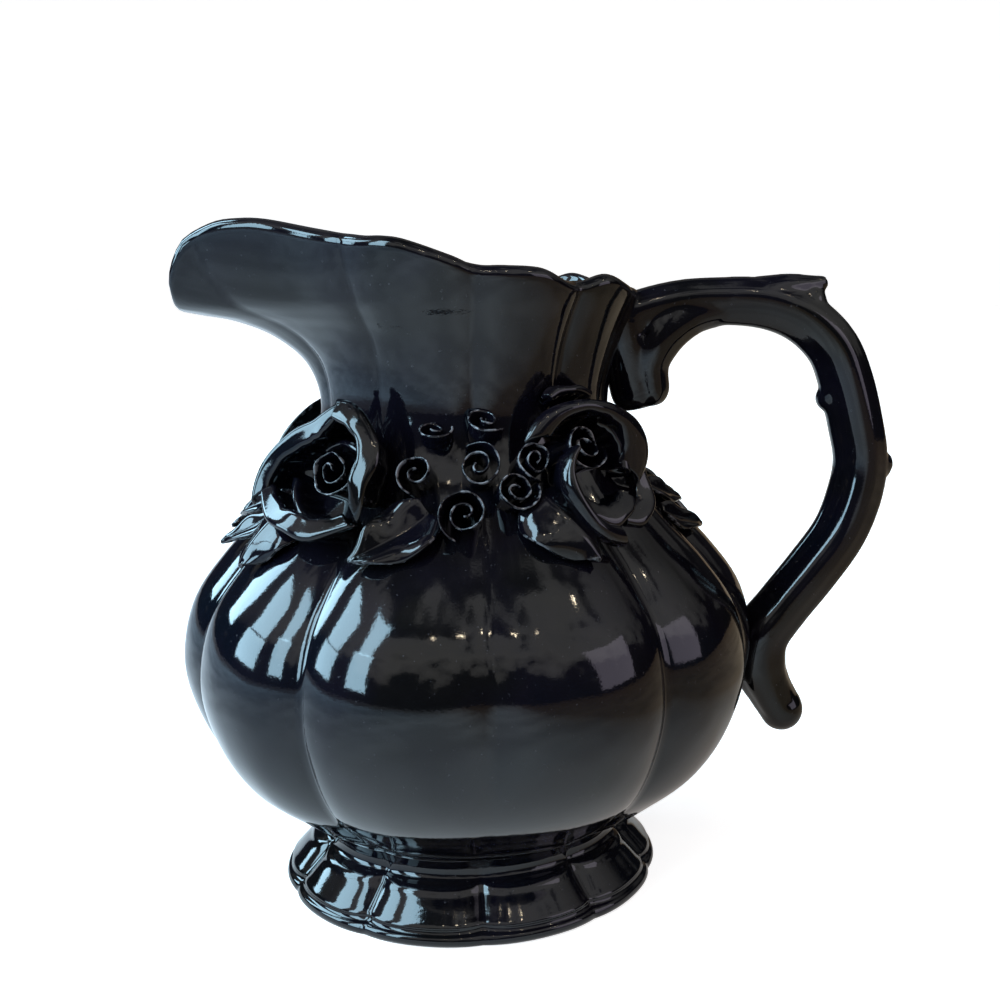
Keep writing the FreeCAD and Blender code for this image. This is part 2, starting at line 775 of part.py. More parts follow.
def shoulder_walk(angle, height, heading, distance):
    """Walk over the shoulder from a place. Returns the angle and height reached."""
    stride = distance / WALK_STEPS
    probe = size("leaf_thickness")
    for _ in range(WALK_STEPS):
        radius = shoulder_radius(height)
        widening = shoulder_radius(height - probe) - radius
        steepness = probe / math.hypot(probe, widening)
        height -= stride * math.cos(math.radians(heading)) * steepness
        angle += math.degrees(stride * math.sin(math.radians(heading)) / radius)
    return angle, height


def add_leaf(label, around, drop, heading, long_share, wide_share, lift_shares, fold_share):
    name = label.title().replace("_", "")
    angle, stalk_height = shoulder_spot(around, drop)
    first, middle, last = [share * size("leaf_lift") for share in lift_shares]
    spine = []
    for along, _ in BLADE_SHARES:
        lift = first * (1 - along) ** 2 + 2 * middle * along * (1 - along) + last * along**2
        reach = size("leaf_length") * long_share * along
        turn, height = shoulder_walk(angle, stalk_height, heading, reach)
        spine.append(polar(shoulder_radius(height) + lift, turn, height))
    wires = []
    for index, (_, wide) in enumerate(BLADE_SHARES):
        before = spine[max(index - 1, 0)]
        after = spine[min(index + 1, len(spine) - 1)]
        along = (after - before).normalize()
        side = along.cross(outward(angle, LEAF_TILT)).normalize()
        face = side.cross(along).normalize()
        half = size("leaf_width") * wide_share * wide / 2
        sink = face * (-size("leaf_fold") * fold_share * wide)
        edge = face * size("leaf_edge") * (wide + LEAF_TIP_SHARE)
        body = face * size("leaf_thickness") * (wide + LEAF_TIP_SHARE)
        centre = spine[index]
        corners = [centre - side * half, centre + sink, centre + side * half]
        backs = [corners[2] - edge, corners[1] - body, corners[0] - edge]
        loop = corners + backs
        wires.append(Part.makePolygon(loop + loop[:1]))
    blade = add_solid(name, wires)
    seated = seat_on_vessel(blade, "front_" + label)
    mirrored(seated, "back_" + label)


for leaf in LEAF_SHARES:
    add_leaf(*leaf)

doc.recompute()


def check():
    """Stop if a feature failed or a sub-part's shape is empty or not valid."""
    faults = []
    for feature in doc.Objects:
        if "Invalid" in feature.State or "Error" in feature.State:
            faults.append(f"{feature.Label} is {feature.State}")
    for feature in sub_parts:
        shape = feature.Shape
        if shape.isNull() or not shape.isValid() or not shape.Solids:
            faults.append(f"{feature.Label} has no valid solid")
    if faults:
        raise RuntimeError("; ".join(faults))


check()
os.makedirs("parts", exist_ok=True)
for feature in sub_parts:
    feature.Shape.exportStep("parts/" + feature.Label + ".step")
print(len(sub_parts), "sub-parts written")
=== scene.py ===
# %% [markdown]
# A black glazed pitcher. The jug is cast in clay: a scalloped foot, a belly of
# ten round lobes and a fluted neck that is thrown out into a broad spout. The
# handle is a clay branch, and the shoulder carries a garland of roses, scrolls
# and leaves that were rolled and pinched by hand and luted on before glazing.
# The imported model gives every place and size, and this script adds the looks.

# %% Load the frame
import math

import bmesh
import bpy
from mathutils import Matrix, Vector, noise


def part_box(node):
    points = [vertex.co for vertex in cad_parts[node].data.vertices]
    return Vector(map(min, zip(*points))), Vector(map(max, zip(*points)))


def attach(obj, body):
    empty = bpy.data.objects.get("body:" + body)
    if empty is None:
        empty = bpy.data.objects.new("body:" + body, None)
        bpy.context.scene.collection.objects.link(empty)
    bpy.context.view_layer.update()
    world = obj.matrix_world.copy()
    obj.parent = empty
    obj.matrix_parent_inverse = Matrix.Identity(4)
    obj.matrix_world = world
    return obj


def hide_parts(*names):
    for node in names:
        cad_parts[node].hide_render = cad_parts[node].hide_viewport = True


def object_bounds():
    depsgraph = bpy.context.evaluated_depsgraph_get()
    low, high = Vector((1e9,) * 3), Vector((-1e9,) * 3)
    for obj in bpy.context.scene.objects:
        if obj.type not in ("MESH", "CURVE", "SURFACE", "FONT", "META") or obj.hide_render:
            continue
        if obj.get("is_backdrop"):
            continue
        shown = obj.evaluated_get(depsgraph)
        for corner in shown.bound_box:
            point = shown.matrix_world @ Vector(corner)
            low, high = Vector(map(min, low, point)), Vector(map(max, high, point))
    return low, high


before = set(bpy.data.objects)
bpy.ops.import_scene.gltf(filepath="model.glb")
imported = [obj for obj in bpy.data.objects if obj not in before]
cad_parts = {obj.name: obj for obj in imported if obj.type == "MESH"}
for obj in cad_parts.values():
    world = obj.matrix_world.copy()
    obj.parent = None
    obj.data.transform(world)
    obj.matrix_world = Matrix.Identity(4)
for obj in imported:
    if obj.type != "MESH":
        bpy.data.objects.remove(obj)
cad_low, cad_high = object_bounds()
MM = 0.001
print("frame box in mm:", [round(v / MM, 1) for v in (*cad_low, *cad_high)])

# %% [markdown]
# Most sizes are read from the frame, so the looks follow the solids. A few that
# no box shows, such as the thickness of the wall, are written here.

# %% Sizes
belly_low, belly_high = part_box("belly")
neck_low, neck_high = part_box("neck_spout")
foot_low, foot_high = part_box("foot_ring")

FOOT_TOP = belly_low.z
NECK_SEAM = belly_high.z
BELLY_RADIUS = belly_high.x
BELLY_HEIGHT = NECK_SEAM - FOOT_TOP
NECK_RISE = neck_high.z - NECK_SEAM
SPOUT_REACH = -neck_low.x
FOOT_RADIUS = foot_high.x
SEAM_RADIUS = 46.3 * MM
NECK_RADIUS = 44.2 * MM
RIM_RADIUS = 57.5 * MM
FOOT_WAIST = 47.0 * MM
RECESS_MOUTH = 51.0 * MM
RECESS_TOP = 40.5 * MM
WALL = 4.6 * MM
FLOOR = 5.5 * MM
ROOT = 2.0 * MM
MERGE_DISTANCE = 0.001 * MM
print("belly", round(BELLY_RADIUS / MM, 1), "spout", round(SPOUT_REACH / MM, 1))

# %% [markdown]
# The wall is one casting, so its side outline is one table from the foot to the
# rim. A table of a few rows is enough when a smooth curve runs through them:
# this is the curve that many modelling tools call Catmull-Rom.


# %% Smooth tables
def smooth(rows, place):
    """The row at a place between 0 and the last one, on a smooth curve."""
    last = len(rows) - 1
    place = min(max(place, 0.0), float(last))
    at = min(int(place), last - 1)
    part = place - at
    near = [rows[min(max(at + step, 0), last)] for step in (-1, 0, 1, 2)]
    mixed = []
    for before, first, second, after in zip(*near):
        slope = second - before
        bend = 2 * before - 5 * first + 4 * second - after
        twist = -before + 3 * first - 3 * second + after
        mixed.append(first + 0.5 * part * (slope + part * (bend + part * twist)))
    return mixed


def polar(radius, angle, height):
    """A point at an angle in degrees from the front, towards the handle."""
    turn = math.radians(angle)
    return Vector((radius * math.sin(turn), -radius * math.cos(turn), height))


# %% [markdown]
# The belly has ten lobes with a crease between each pair. The neck carries the
# same creases on as flutes, strong beside the handle and soft below the spout.
# Each crease bites a share of the radius, and over a lobe the wall swells from
# one crease to the next, so the lobes come from one formula. The soft casting
# also leans a little towards the handle.

# %% Outline of the wall
LOBE_ANGLE = 36.0
BELLY_CREASE_SHARES = {0: 0.35, 36: 1.0, 72: 1.0, 108: 1.0, 144: 1.0, 180: 0.35}
HANDLE_CREASE_SHARES = {0: 0.30, 36: 1.0, 72: 1.0, 108: 1.0, 144: 1.0, 180: 0.30}
SPOUT_CREASE_SHARES = {0: 0.30, 36: 0.40, 72: 0.6, 108: 0.6, 144: 0.40, 180: 0.30}
# Share of the belly's height, of its radius, and depth of the crease.
BELLY_SHARES = (
    (0.000, 0.551, 0.030),
    (0.035, 0.632, 0.040),
    (0.085, 0.722, 0.045),
    (0.170, 0.853, 0.050),
    (0.290, 0.950, 0.055),
    (0.435, 1.000, 0.055),
    (0.590, 0.962, 0.055),
    (0.712, 0.850, 0.065),
    (0.814, 0.716, 0.070),
    (0.915, 0.589, 0.055),
)
# Share of the neck's rise and of its flare at the sides, then of its rise and of
# the spout's reach below the spout.
NECK_SHARES = (
    (0.116, 0.01, 0.184, -0.005),
    (0.231, 0.02, 0.357, 0.039),
    (0.348, 0.14, 0.479, 0.146),
    (0.462, 0.31, 0.551, 0.278),
    (0.579, 0.53, 0.590, 0.416),
    (0.694, 0.78, 0.634, 0.554),
    (0.810, 0.99, 0.735, 0.671),
    (0.925, 1.14, 0.884, 0.754),
    (1.041, 1.25, 1.041, 0.798),
)
NECK_CREASE_SHARE = 0.070
SEAM_CREASE_SHARE = 0.045
SPOUT_ANGLE = -90.0
SPOUT_SPREAD = 20.0
LOBE_POWER = 2.5
BELLY_STRETCH_SHARE = 0.010
BELLY_LEAN = 1.5 * MM

# Rows: radius and height at the sides, the same below the spout, crease, neckness.
wall_rows = []
for up, out, cut in BELLY_SHARES:
    radius, height = BELLY_RADIUS * out, FOOT_TOP + BELLY_HEIGHT * up
    wall_rows.append((radius, height, radius, height, cut, 0.0))
wall_rows.append((SEAM_RADIUS, NECK_SEAM, SEAM_RADIUS, NECK_SEAM, SEAM_CREASE_SHARE, 0.3))
SEAM_LEVEL = len(wall_rows) - 1
for side_up, out, tip_up, throw in NECK_SHARES:
    side = (NECK_RADIUS + (RIM_RADIUS - NECK_RADIUS) * out, NECK_SEAM + NECK_RISE * side_up)
    tip = (NECK_RADIUS + SPOUT_REACH * throw, NECK_SEAM + NECK_RISE * tip_up)
    wall_rows.append((*side, *tip, NECK_CREASE_SHARE, 1.0))
TOP_LEVEL = len(wall_rows) - 1


def crease_weight(angle, neckness):
    """How strongly the wall is creased there: nothing on a lobe's crest."""
    across = (angle % LOBE_ANGLE) / LOBE_ANGLE * 2 - 1
    crease = angle - (across + 1) * LOBE_ANGLE / 2 + (LOBE_ANGLE if across > 0 else 0)
    turned = crease % 360
    key = round(min(turned, 360 - turned))
    neck_shares = HANDLE_CREASE_SHARES if math.sin(math.radians(angle)) >= 0 else SPOUT_CREASE_SHARES
    share = BELLY_CREASE_SHARES[key] * (1 - neckness) + neck_shares[key] * neckness
    return share * abs(across) ** LOBE_POWER


def spout_bump(angle):
    off = (angle - SPOUT_ANGLE + 180) % 360 - 180
    return math.exp(-((off / SPOUT_SPREAD) ** 2))


def wall_point(angle, level):
    """A point on the outside of the wall."""
    side_radius, side_height, tip_radius, tip_height, cut, neckness = smooth(wall_rows, level)
    spread = tip_radius - side_radius

    def outline(turn):
        return polar(side_radius + spread * spout_bump(turn), turn, 0)

    along = (outline(angle + 1) - outline(angle - 1)).normalized()
    spot = outline(angle)
    inwards = Vector((-along.y, along.x, 0))
    spot += inwards * (spot.length * cut * crease_weight(angle, neckness))
    slope = (side_height - tip_height) / (side_radius + tip_radius)
    spot.z = tip_height + slope * (spot.x + tip_radius)
    spot.x += (spot.x * BELLY_STRETCH_SHARE + BELLY_LEAN) * max(0.0, 1 - neckness * 1.2)
    return spot


print("wall rows:", len(wall_rows))

# %% [markdown]
# The rim is cut to a wavy line that rises to the spout, and then finished as a
# thick soft roll. Each column of the wall ends where the roll meets that line.

# %% Rim line
RIM_SHARES = (
    (-1.000, 0.741), (-0.979, 0.824), (-0.931, 0.923), (-0.837, 0.985), (-0.753, 1.000),
    (-0.664, 0.995), (-0.515, 0.954), (-0.367, 0.922), (-0.292, 0.919), (-0.218, 0.904),
    (-0.068, 0.839),
)
HANDLE_RIM_SHARES = (
    (0.020, 0.798), (0.157, 0.795), (0.348, 0.783), (0.513, 0.727), (0.700, 0.757),
    (0.852, 0.709), (1.000, 0.681), (1.150, 0.681),
)
rim_rows = [(SPOUT_REACH * out, NECK_SEAM + NECK_RISE * up) for out, up in RIM_SHARES]
rim_rows += [(RIM_RADIUS * out, NECK_SEAM + NECK_RISE * up) for out, up in HANDLE_RIM_SHARES]
RIM_STEPS = 8
rim_line = [smooth(rim_rows, step / RIM_STEPS) for step in range(RIM_STEPS * (len(rim_rows) - 1) + 1)]
ROLL = WALL / 2
RIM_CLEARANCE = 0.5 * MM


def above_rim(point):
    """True beyond the rim line, or past the end of the lip."""
    if point.x <= -SPOUT_REACH:
        return True
    for (x1, z1), (x2, z2) in zip(rim_line, rim_line[1:]):
        if x1 <= point.x <= x2:
            return point.z > z1 + (z2 - z1) * (point.x - x1) / max(x2 - x1, 1e-9)
    return point.z > rim_line[-1][1]


def rim_level(angle):
    """The level at which a column of the wall ends."""
    low, high = SEAM_LEVEL + 1.5, float(TOP_LEVEL)
    for _ in range(18):
        middle = (low + high) / 2
        here = wall_point(angle, middle)
        ahead = wall_point(angle, middle + 0.05)
        run = (ahead - here).normalized()
        if above_rim(here + run * (ROLL + RIM_CLEARANCE)):
            high = middle
        else:
            low = middle
    return low


print("rim line from", round(rim_line[0][0] / MM, 1), "to", round(rim_line[-1][0] / MM, 1))

# %% [markdown]
# A lathe-like piece is drawn ring by ring: a circle is extruded again and again,
# and each new ring is set in its place. Here every ring is placed by the wall's
# formula, first up the outside, then over the rolled rim and down the inside.


# %% Rings
def next_ring(bm, ring, places):
    """Extrude a ring of vertices and put the new ring at its places."""
    edges = []
    for here, there in zip(ring, ring[1:] + ring[:1]):
        edges.append(bm.edges.get((here, there)))
    made = bmesh.ops.extrude_edge_only(bm, edges=edges)
    new = {item for item in made["geom"] if isinstance(item, bmesh.types.BMVert)}
    grown = []
    for vertex, place in zip(ring, places):
        twin = next(e.other_vert(vertex) for e in vertex.link_edges if e.other_vert(vertex) in new)
        twin.co = place
        grown.append(twin)
    return grown


def first_ring(bm, places):
    made = bmesh.ops.create_circle(bm, segments=len(places), radius=1.0)
    ring = made["verts"]
    for vertex, place in zip(ring, places):
        vertex.co = place
    return ring


def close_ring(bm, ring, centre):
    """Draw a ring in to a closed middle."""
    for share in (0.7, 0.35, 0.0):
        ring = next_ring(bm, ring, [centre.lerp(Vector((v.co.x, v.co.y, centre.z)), share) for v in ring])
    bmesh.ops.remove_doubles(bm, verts=ring, dist=MERGE_DISTANCE)


def finish_mesh(bm, name):
    """Turn the faces outwards and make a smooth object of the mesh."""
    bmesh.ops.recalc_face_normals(bm, faces=bm.faces)
    mesh = bpy.data.meshes.new(name)
    bm.to_mesh(mesh)
    bm.free()
    mesh.polygons.foreach_set("use_smooth", [True] * len(mesh.polygons))
    piece = bpy.data.objects.new(name, mesh)
    bpy.context.scene.collection.objects.link(piece)
    return piece


# %% Body: outside, rim and inside of the wall
COLUMNS = 300
BELLY_RINGS = 60
NECK_RINGS = 54
ROLL_RINGS = 8
ROLL_SWELL = 0.55 * MM
SWELL_RINGS = 9.0
INSIDE_LEVEL = 2.4

angles = [360.0 * column / COLUMNS for column in range(COLUMNS)]
rim_levels = [rim_level(angle) for angle in angles]
outside = []
for ring_index in range(BELLY_RINGS):
    level = SEAM_LEVEL * ring_index / BELLY_RINGS
    outside.append([wall_point(angle, level) for angle in angles])
for ring_index in range(NECK_RINGS + 1):
    share = ring_index / NECK_RINGS
    levels = [SEAM_LEVEL + (top - SEAM_LEVEL) * share for top in rim_levels]
    outside.append([wall_point(angle, level) for angle, level in zip(angles, levels)])


def rim_lump(angle):
    """How full the rolled rim is there, as a share of its swell."""
    return 0.75 + 0.5 * noise.noise(polar(3.0, angle, 0))


def grid_directions(ring_index, column):
    """Outward and upward directions of the wall at a vertex of the grid."""
    ring = outside[ring_index]
    around = ring[(column + 1) % COLUMNS] - ring[column - 1]
    above = outside[min(ring_index + 1, len(outside) - 1)][column]
    below = outside[max(ring_index - 1, 0)][column]
    upwards = (above - below).normalized()
    return around.cross(upwards).normalized(), upwards


body_bm = bmesh.new()
ring = first_ring(body_bm, outside[0])
start_ring = ring
top_index = len(outside) - 1
for ring_index in range(1, len(outside)):
    swell = ROLL_SWELL * math.exp(-(((top_index - ring_index) / SWELL_RINGS) ** 2))
    places = []
    for column, angle in enumerate(angles):
        outwards, _ = grid_directions(ring_index, column)
        places.append(outside[ring_index][column] + outwards * swell * rim_lump(angle))
    ring = next_ring(body_bm, ring, places)
for step in range(1, ROLL_RINGS):
    turn = math.pi * step / ROLL_RINGS
    places = []
    for column, angle in enumerate(angles):
        outwards, upwards = grid_directions(top_index, column)
        middle = outside[top_index][column] - outwards * ROLL
        breadth = ROLL + ROLL_SWELL * rim_lump(angle)
        places.append(middle + outwards * breadth * math.cos(turn) + upwards * ROLL * math.sin(turn))
    ring = next_ring(body_bm, ring, places)
lowest_inside = INSIDE_LEVEL / SEAM_LEVEL * BELLY_RINGS
inside_rings = [index for index in range(top_index, 0, -2) if index > lowest_inside]
for ring_index in inside_rings:
    places = []
    for column, angle in enumerate(angles):
        outwards, _ = grid_directions(ring_index, column)
        places.append(outside[ring_index][column] - outwards * WALL)
    ring = next_ring(body_bm, ring, places)
FLOOR_SHARES = ((0.94, 0.45), (0.84, 0.16), (0.70, 0.03))
floor_height = FOOT_TOP + FLOOR
for out, up in FLOOR_SHARES:
    places = []
    for vertex in ring:
        low = floor_height + (vertex.co.z - floor_height) * up
        places.append(Vector((vertex.co.x * out, vertex.co.y * out, low)))
    ring = next_ring(body_bm, ring, places)
close_ring(body_bm, ring, Vector((0, 0, floor_height)))
close_ring(body_bm, start_ring, Vector((0, 0, FOOT_TOP)))
body = finish_mesh(body_bm, "glazed_body")
print("body faces:", len(body.data.polygons))

# %% [markdown]
# The foot is a flared ring with ten scallops. Narrow valleys run up it under the
# creases of the belly, a small groove runs round above its base, and a waist sets
# it off from the belly. Below it is hollow, so that it stands on its edge alone.

# %% Foot
# Share of the foot's height, share from waist to flange, depth of the valleys.
FOOT_SHARES = (
    (0.000, 0.80, 0.010), (0.025, 0.93, 0.018), (0.085, 1.00, 0.026), (0.150, 0.98, 0.034),
    (0.185, 0.90, 0.040), (0.225, 0.87, 0.046), (0.270, 0.88, 0.052), (0.350, 0.76, 0.060),
    (0.450, 0.60, 0.066), (0.560, 0.42, 0.070), (0.625, 0.34, 0.070), (0.665, 0.25, 0.062),
    (0.705, 0.10, 0.050), (0.760, 0.02, 0.038), (0.840, 0.00, 0.030), (0.920, 0.05, 0.028),
    (1.000, 0.12, 0.028),
)
FOOT_STEPS = 4
VALLEY_POWER = 3.2
DISH_SHARE = 0.006
foot_bm = bmesh.new()
ring = None
for step in range(FOOT_STEPS * (len(FOOT_SHARES) - 1) + 1):
    up, out, valley = smooth(FOOT_SHARES, step / FOOT_STEPS)
    places = []
    for angle in angles:
        across = abs((angle % LOBE_ANGLE) / LOBE_ANGLE * 2 - 1)
        bite = valley * across**VALLEY_POWER + DISH_SHARE * (1 - across**2) * valley / FOOT_SHARES[9][2]
        radius = (FOOT_WAIST + (FOOT_RADIUS - FOOT_WAIST) * out) * (1 - bite)
        places.append(polar(radius, angle, FOOT_TOP * up))
    if ring is None:
        ring = first_ring(foot_bm, places)
        foot_start = ring
    else:
        ring = next_ring(foot_bm, ring, places)
RECESS_ROUND = 0.8 * MM
recess_lip = RECESS_MOUTH + RECESS_ROUND
for radius, height in ((RECESS_TOP, FOOT_TOP), (RECESS_MOUTH, RECESS_ROUND), (recess_lip, 0.0)):
    ring = next_ring(foot_bm, ring, [polar(radius, angle, height) for angle in angles])
loops = []
for loop in (ring, foot_start):
    loops += [foot_bm.edges.get((a, b)) for a, b in zip(loop, loop[1:] + loop[:1])]
bmesh.ops.bridge_loops(foot_bm, edges=loops)
foot = finish_mesh(foot_bm, "glazed_foot")
print("foot faces:", len(foot.data.polygons))

# %% [markdown]
# The handle is made like a twig: rolls of clay were bent, and a thorn, two knots
# and a curled end were pressed on while soft. Separate tubes would show hard
# seams, so the tubes are melted into one skin with a voxel remesh and smoothed.

# %% Places along the branch
HANDLE_REACH = 129.2 * MM
BRANCH_RADIUS = 9.8 * MM
UPPER_BRANCH_SHARES = (
    (-0.110, 0.535, 0.80), (-0.007, 0.582, 0.78), (0.146, 0.622, 0.76), (0.314, 0.634, 0.76),
    (0.481, 0.628, 0.80), (0.621, 0.590, 0.83), (0.739, 0.515, 0.85), (0.838, 0.398, 0.87),
    (0.900, 0.237, 0.90), (0.948, 0.043, 0.91),
)
LOWER_BRANCH_SHARES = (
    (0.965, 0.919, 0.90), (0.925, 0.818, 0.92), (0.808, 0.712, 0.91), (0.590, 0.606, 0.92),
    (0.352, 0.504, 0.92), (0.189, 0.424, 0.96), (0.184, 0.339, 0.91), (0.267, 0.271, 0.78),
    (0.371, 0.210, 0.73),
)
CURL_SHARES = (
    (0.300, 0.620, 0.70), (0.180, 0.590, 0.78), (0.070, 0.520, 0.88), (0.005, 0.430, 0.88),
    (-0.020, 0.330, 0.80), (-0.005, 0.225, 0.72),
)


def upper_place(out, up):
    reach = RIM_RADIUS + (HANDLE_REACH - RIM_RADIUS) * out
    return Vector((reach, 0, NECK_SEAM + NECK_RISE * up))


def lower_place(out, up):
    reach = BELLY_RADIUS + (HANDLE_REACH - BELLY_RADIUS) * out
    return Vector((reach, 0, FOOT_TOP + BELLY_HEIGHT * up))


bow_rows = [(*upper_place(out, up), BRANCH_RADIUS * share) for out, up, share in UPPER_BRANCH_SHARES]
bow_rows += [(*lower_place(out, up), BRANCH_RADIUS * share) for out, up, share in LOWER_BRANCH_SHARES]
curl_rows = [(*upper_place(out, up), BRANCH_RADIUS * share) for out, up, share in CURL_SHARES]
WEB_SHARES = ((-0.120, 0.580, 0.80), (-0.110, 0.440, 0.80), (-0.090, 0.300, 0.74), (-0.075, 0.205, 0.70))
thorn_root = upper_place(0.500, 0.645)
thorn_tip = upper_place(0.772, 0.718)
THORN_RADIUS = 7.0 * MM
THORN_TIP_RADIUS = 2.5 * MM
thorn_rows = [
    (*thorn_root, THORN_RADIUS),
    (*thorn_root.lerp(thorn_tip, 0.5), THORN_RADIUS * 0.78),
    (*thorn_root.lerp(thorn_tip, 0.85), THORN_RADIUS * 0.48),
    (*thorn_tip, THORN_TIP_RADIUS),
]
thorn_heel = upper_place(0.722, 0.630)
THORN_HEEL_RADIUS = 5.4 * MM
knot_root = lower_place(0.985, 0.918)
knot_tip = lower_place(1.122, 0.902)
KNOT_RADIUS = 5.6 * MM
knot_rows = [
    (*knot_root, KNOT_RADIUS * 1.3),
    (*knot_root.lerp(knot_tip, 0.4), KNOT_RADIUS * 1.2),
    (*knot_root.lerp(knot_tip, 0.7), KNOT_RADIUS * 1.0),
    (*knot_tip, KNOT_RADIUS * 0.84),
]
web_rows = [(*upper_place(out, up), BRANCH_RADIUS * share) for out, up, share in WEB_SHARES]
bud_place = upper_place(0.822, 0.160)
BUD_RADIUS = 4.4 * MM
TAIL_RADIUS = 7.3 * MM
print("rows along the branch:", len(bow_rows))


# %% Tubes along the branch
RIDGE_SHARES = ((3, 0.040, 0.0), (5, 0.035, 1.3), (8, 0.022, 2.1))
TUBE_SIDES = 28
TUBE_STEPS = 8
END_RINGS = 3
END_SPAN = 3.6


def add_branch(bm, rows, twist):
    """A tube along rows of a place and a radius, with rounded ends."""
    steps = TUBE_STEPS * (len(rows) - 1)
    ring = None
    across = Vector((0, 1, 0))
    for step in range(-END_RINGS, steps + END_RINGS + 1):
        inside_step = min(max(step, 0), steps)
        x, y, z, radius = smooth(rows, inside_step / TUBE_STEPS)
        ahead = Vector(smooth(rows, inside_step / TUBE_STEPS + 0.05)[:3])
        behind = Vector(smooth(rows, inside_step / TUBE_STEPS - 0.05)[:3])
        along = (ahead - behind).normalized()
        beyond = (step - inside_step) / END_SPAN
        centre = Vector((x, y, z)) + along * radius * beyond
        radius *= math.sqrt(1 - beyond * beyond)
        side = across.cross(along).normalized()
        places = []
        for corner in range(TUBE_SIDES):
            turn = 2 * math.pi * corner / TUBE_SIDES
            ridges = 0.0
            for count, share, phase in RIDGE_SHARES:
                ridges += share * math.cos(count * turn + phase + twist * inside_step / TUBE_STEPS)
            girth = radius * (1 + ridges)
            places.append(centre + (across * math.cos(turn) + side * math.sin(turn)) * girth)
        if ring is None:
            ring = first_ring(bm, places)
            near_end = ring
        else:
            ring = next_ring(bm, ring, places)
    for loop in (near_end, ring):
        centre = sum((v.co for v in loop), Vector()) / len(loop)
        last = next_ring(bm, loop, [centre.copy() for _ in loop])
        bmesh.ops.remove_doubles(bm, verts=last, dist=MERGE_DISTANCE)


branch_bm = bmesh.new()
add_branch(branch_bm, bow_rows, twist=0.25)
add_branch(branch_bm, curl_rows, twist=0.30)
add_branch(branch_bm, web_rows, twist=0.10)
add_branch(branch_bm, thorn_rows, twist=0.10)
add_branch(branch_bm, knot_rows, twist=0.10)
soft_lumps = (
    (bud_place, BUD_RADIUS), (thorn_heel, THORN_HEEL_RADIUS), (Vector(bow_rows[-1][:3]), TAIL_RADIUS)
)
for place, radius in soft_lumps:
    bmesh.ops.create_uvsphere(
        branch_bm, u_segments=24, v_segments=16, radius=radius, matrix=Matrix.Translation(place)
    )
rough_branch = finish_mesh(branch_bm, "rough_branch")
print("faces before melting:", len(rough_branch.data.polygons))


# %% [markdown]
# Where a clay piece is luted on, it sinks a little way into the wall and no
# further. So a helper measures how far out the wall lies at a place, and any
# vertex that lies deeper than the root is drawn out again.


# %% Seating on the wall
def level_at(angle, height):
    low, high = 0.0, TOP_LEVEL - 1.0
    for _ in range(16):
        middle = (low + high) / 2
        if wall_point(angle, middle).z < height:
            low = middle
        else:
            high = middle
    return low


def wall_radius(angle, height):
    """How far the outside of the wall lies from the axis."""
    spot = wall_point(angle, level_at(angle, height))
    return math.hypot(spot.x, spot.y)


def angle_of(place):
    return math.degrees(math.atan2(place.x, -place.y))


def seat_vertices(vertices, depth):
    """Draw out every vertex that lies deeper in the wall than its root may."""
    moved = 0
    for vertex in vertices:
        place = vertex.co
        radius = math.hypot(place.x, place.y)
        if place.z < FOOT_TOP or radius > BELLY_RADIUS:
            continue
        least = wall_radius(angle_of(place), place.z) - depth
        if 0 < radius < least:
            place.x *= least / radius
            place.y *= least / radius
            moved += 1
    return moved


# %% One skin for the handle
VOXEL = 0.75 * MM
remesh = rough_branch.modifiers.new("melt", "REMESH")
remesh.mode = "VOXEL"
remesh.voxel_size = VOXEL
soften = rough_branch.modifiers.new("soften", "SMOOTH")
soften.factor = 0.6
soften.iterations = 9
melted = rough_branch.evaluated_get(bpy.context.evaluated_depsgraph_get())
skin = bpy.data.meshes.new_from_object(melted)
bpy.data.objects.remove(rough_branch)
handle_bm = bmesh.new()
handle_bm.from_mesh(skin)
near_wall = [v for v in handle_bm.verts if v.co.x < BELLY_RADIUS + ROOT]
drawn = seat_vertices(near_wall, ROOT)
handle = finish_mesh(handle_bm, "glazed_handle")
print("handle faces:", len(handle.data.polygons), "root vertices:", drawn)

# %% [markdown]
# The garland sits on the shoulder. Its places are measured as a potter would,
# along the wall: so far round from the front and so far down from the neck.

# %% Places on the shoulder
ROSE_RADIUS = 18.0 * MM
ROSE_DEPTH = 12.0 * MM
PETAL_THICKNESS = 1.4 * MM
CREST_ANGLE = LOBE_ANGLE / 2
crest_cache = {}


def crest_radius(height):
    key = round(height / MM, 2)
    if key not in crest_cache:
        crest_cache[key] = wall_radius(CREST_ANGLE, height)
    return crest_cache[key]


def shoulder_spot(around, drop):
    height = NECK_SEAM - ROSE_RADIUS * drop
    return math.degrees(ROSE_RADIUS * around / crest_radius(height)), height


def outward(angle, tilt):
    rise = math.radians(tilt)
    return polar(math.cos(rise), angle, math.sin(rise))


def seat_matrix(place, out, right):
    """A frame at a place: X to the right and Z outwards, as someone facing it sees it."""
    rows = Matrix((right, out.cross(right), out)).transposed()
    return Matrix.Translation(place) @ rows.to_4x4()


# %% [markdown]
# Each piece of the garland is a thin sheet of clay with a soft edge. A grid or a
# spun strip gives the sheet, Solidify gives its thickness and Subdivision Surface
# rounds its edges. The number "lip" is kept on each vertex, one at the free edge
# and nothing at the root, because the glaze runs thin and pale there.


# %% Sheets of clay
def clay_sheet(bm, name, thickness):
    """The front piece of a sheet, and its mirror image on the back."""
    seat_vertices(bm.verts, ROOT)
    pieces = []
    for side, scale in (("front", 1), ("back", -1)):
        half = bm.copy()
        bmesh.ops.scale(half, vec=(1, scale, 1), verts=half.verts)
        piece = finish_mesh(half, f"glazed_{side}_{name}")
        solid = piece.modifiers.new("thickness", "SOLIDIFY")
        solid.thickness = thickness
        solid.offset = 0.0
        rounding = piece.modifiers.new("rounding", "SUBSURF")
        rounding.levels = 2
        rounding.render_levels = 2
        pieces.append((piece, f"{side}_{name}"))
    bm.free()
    return pieces


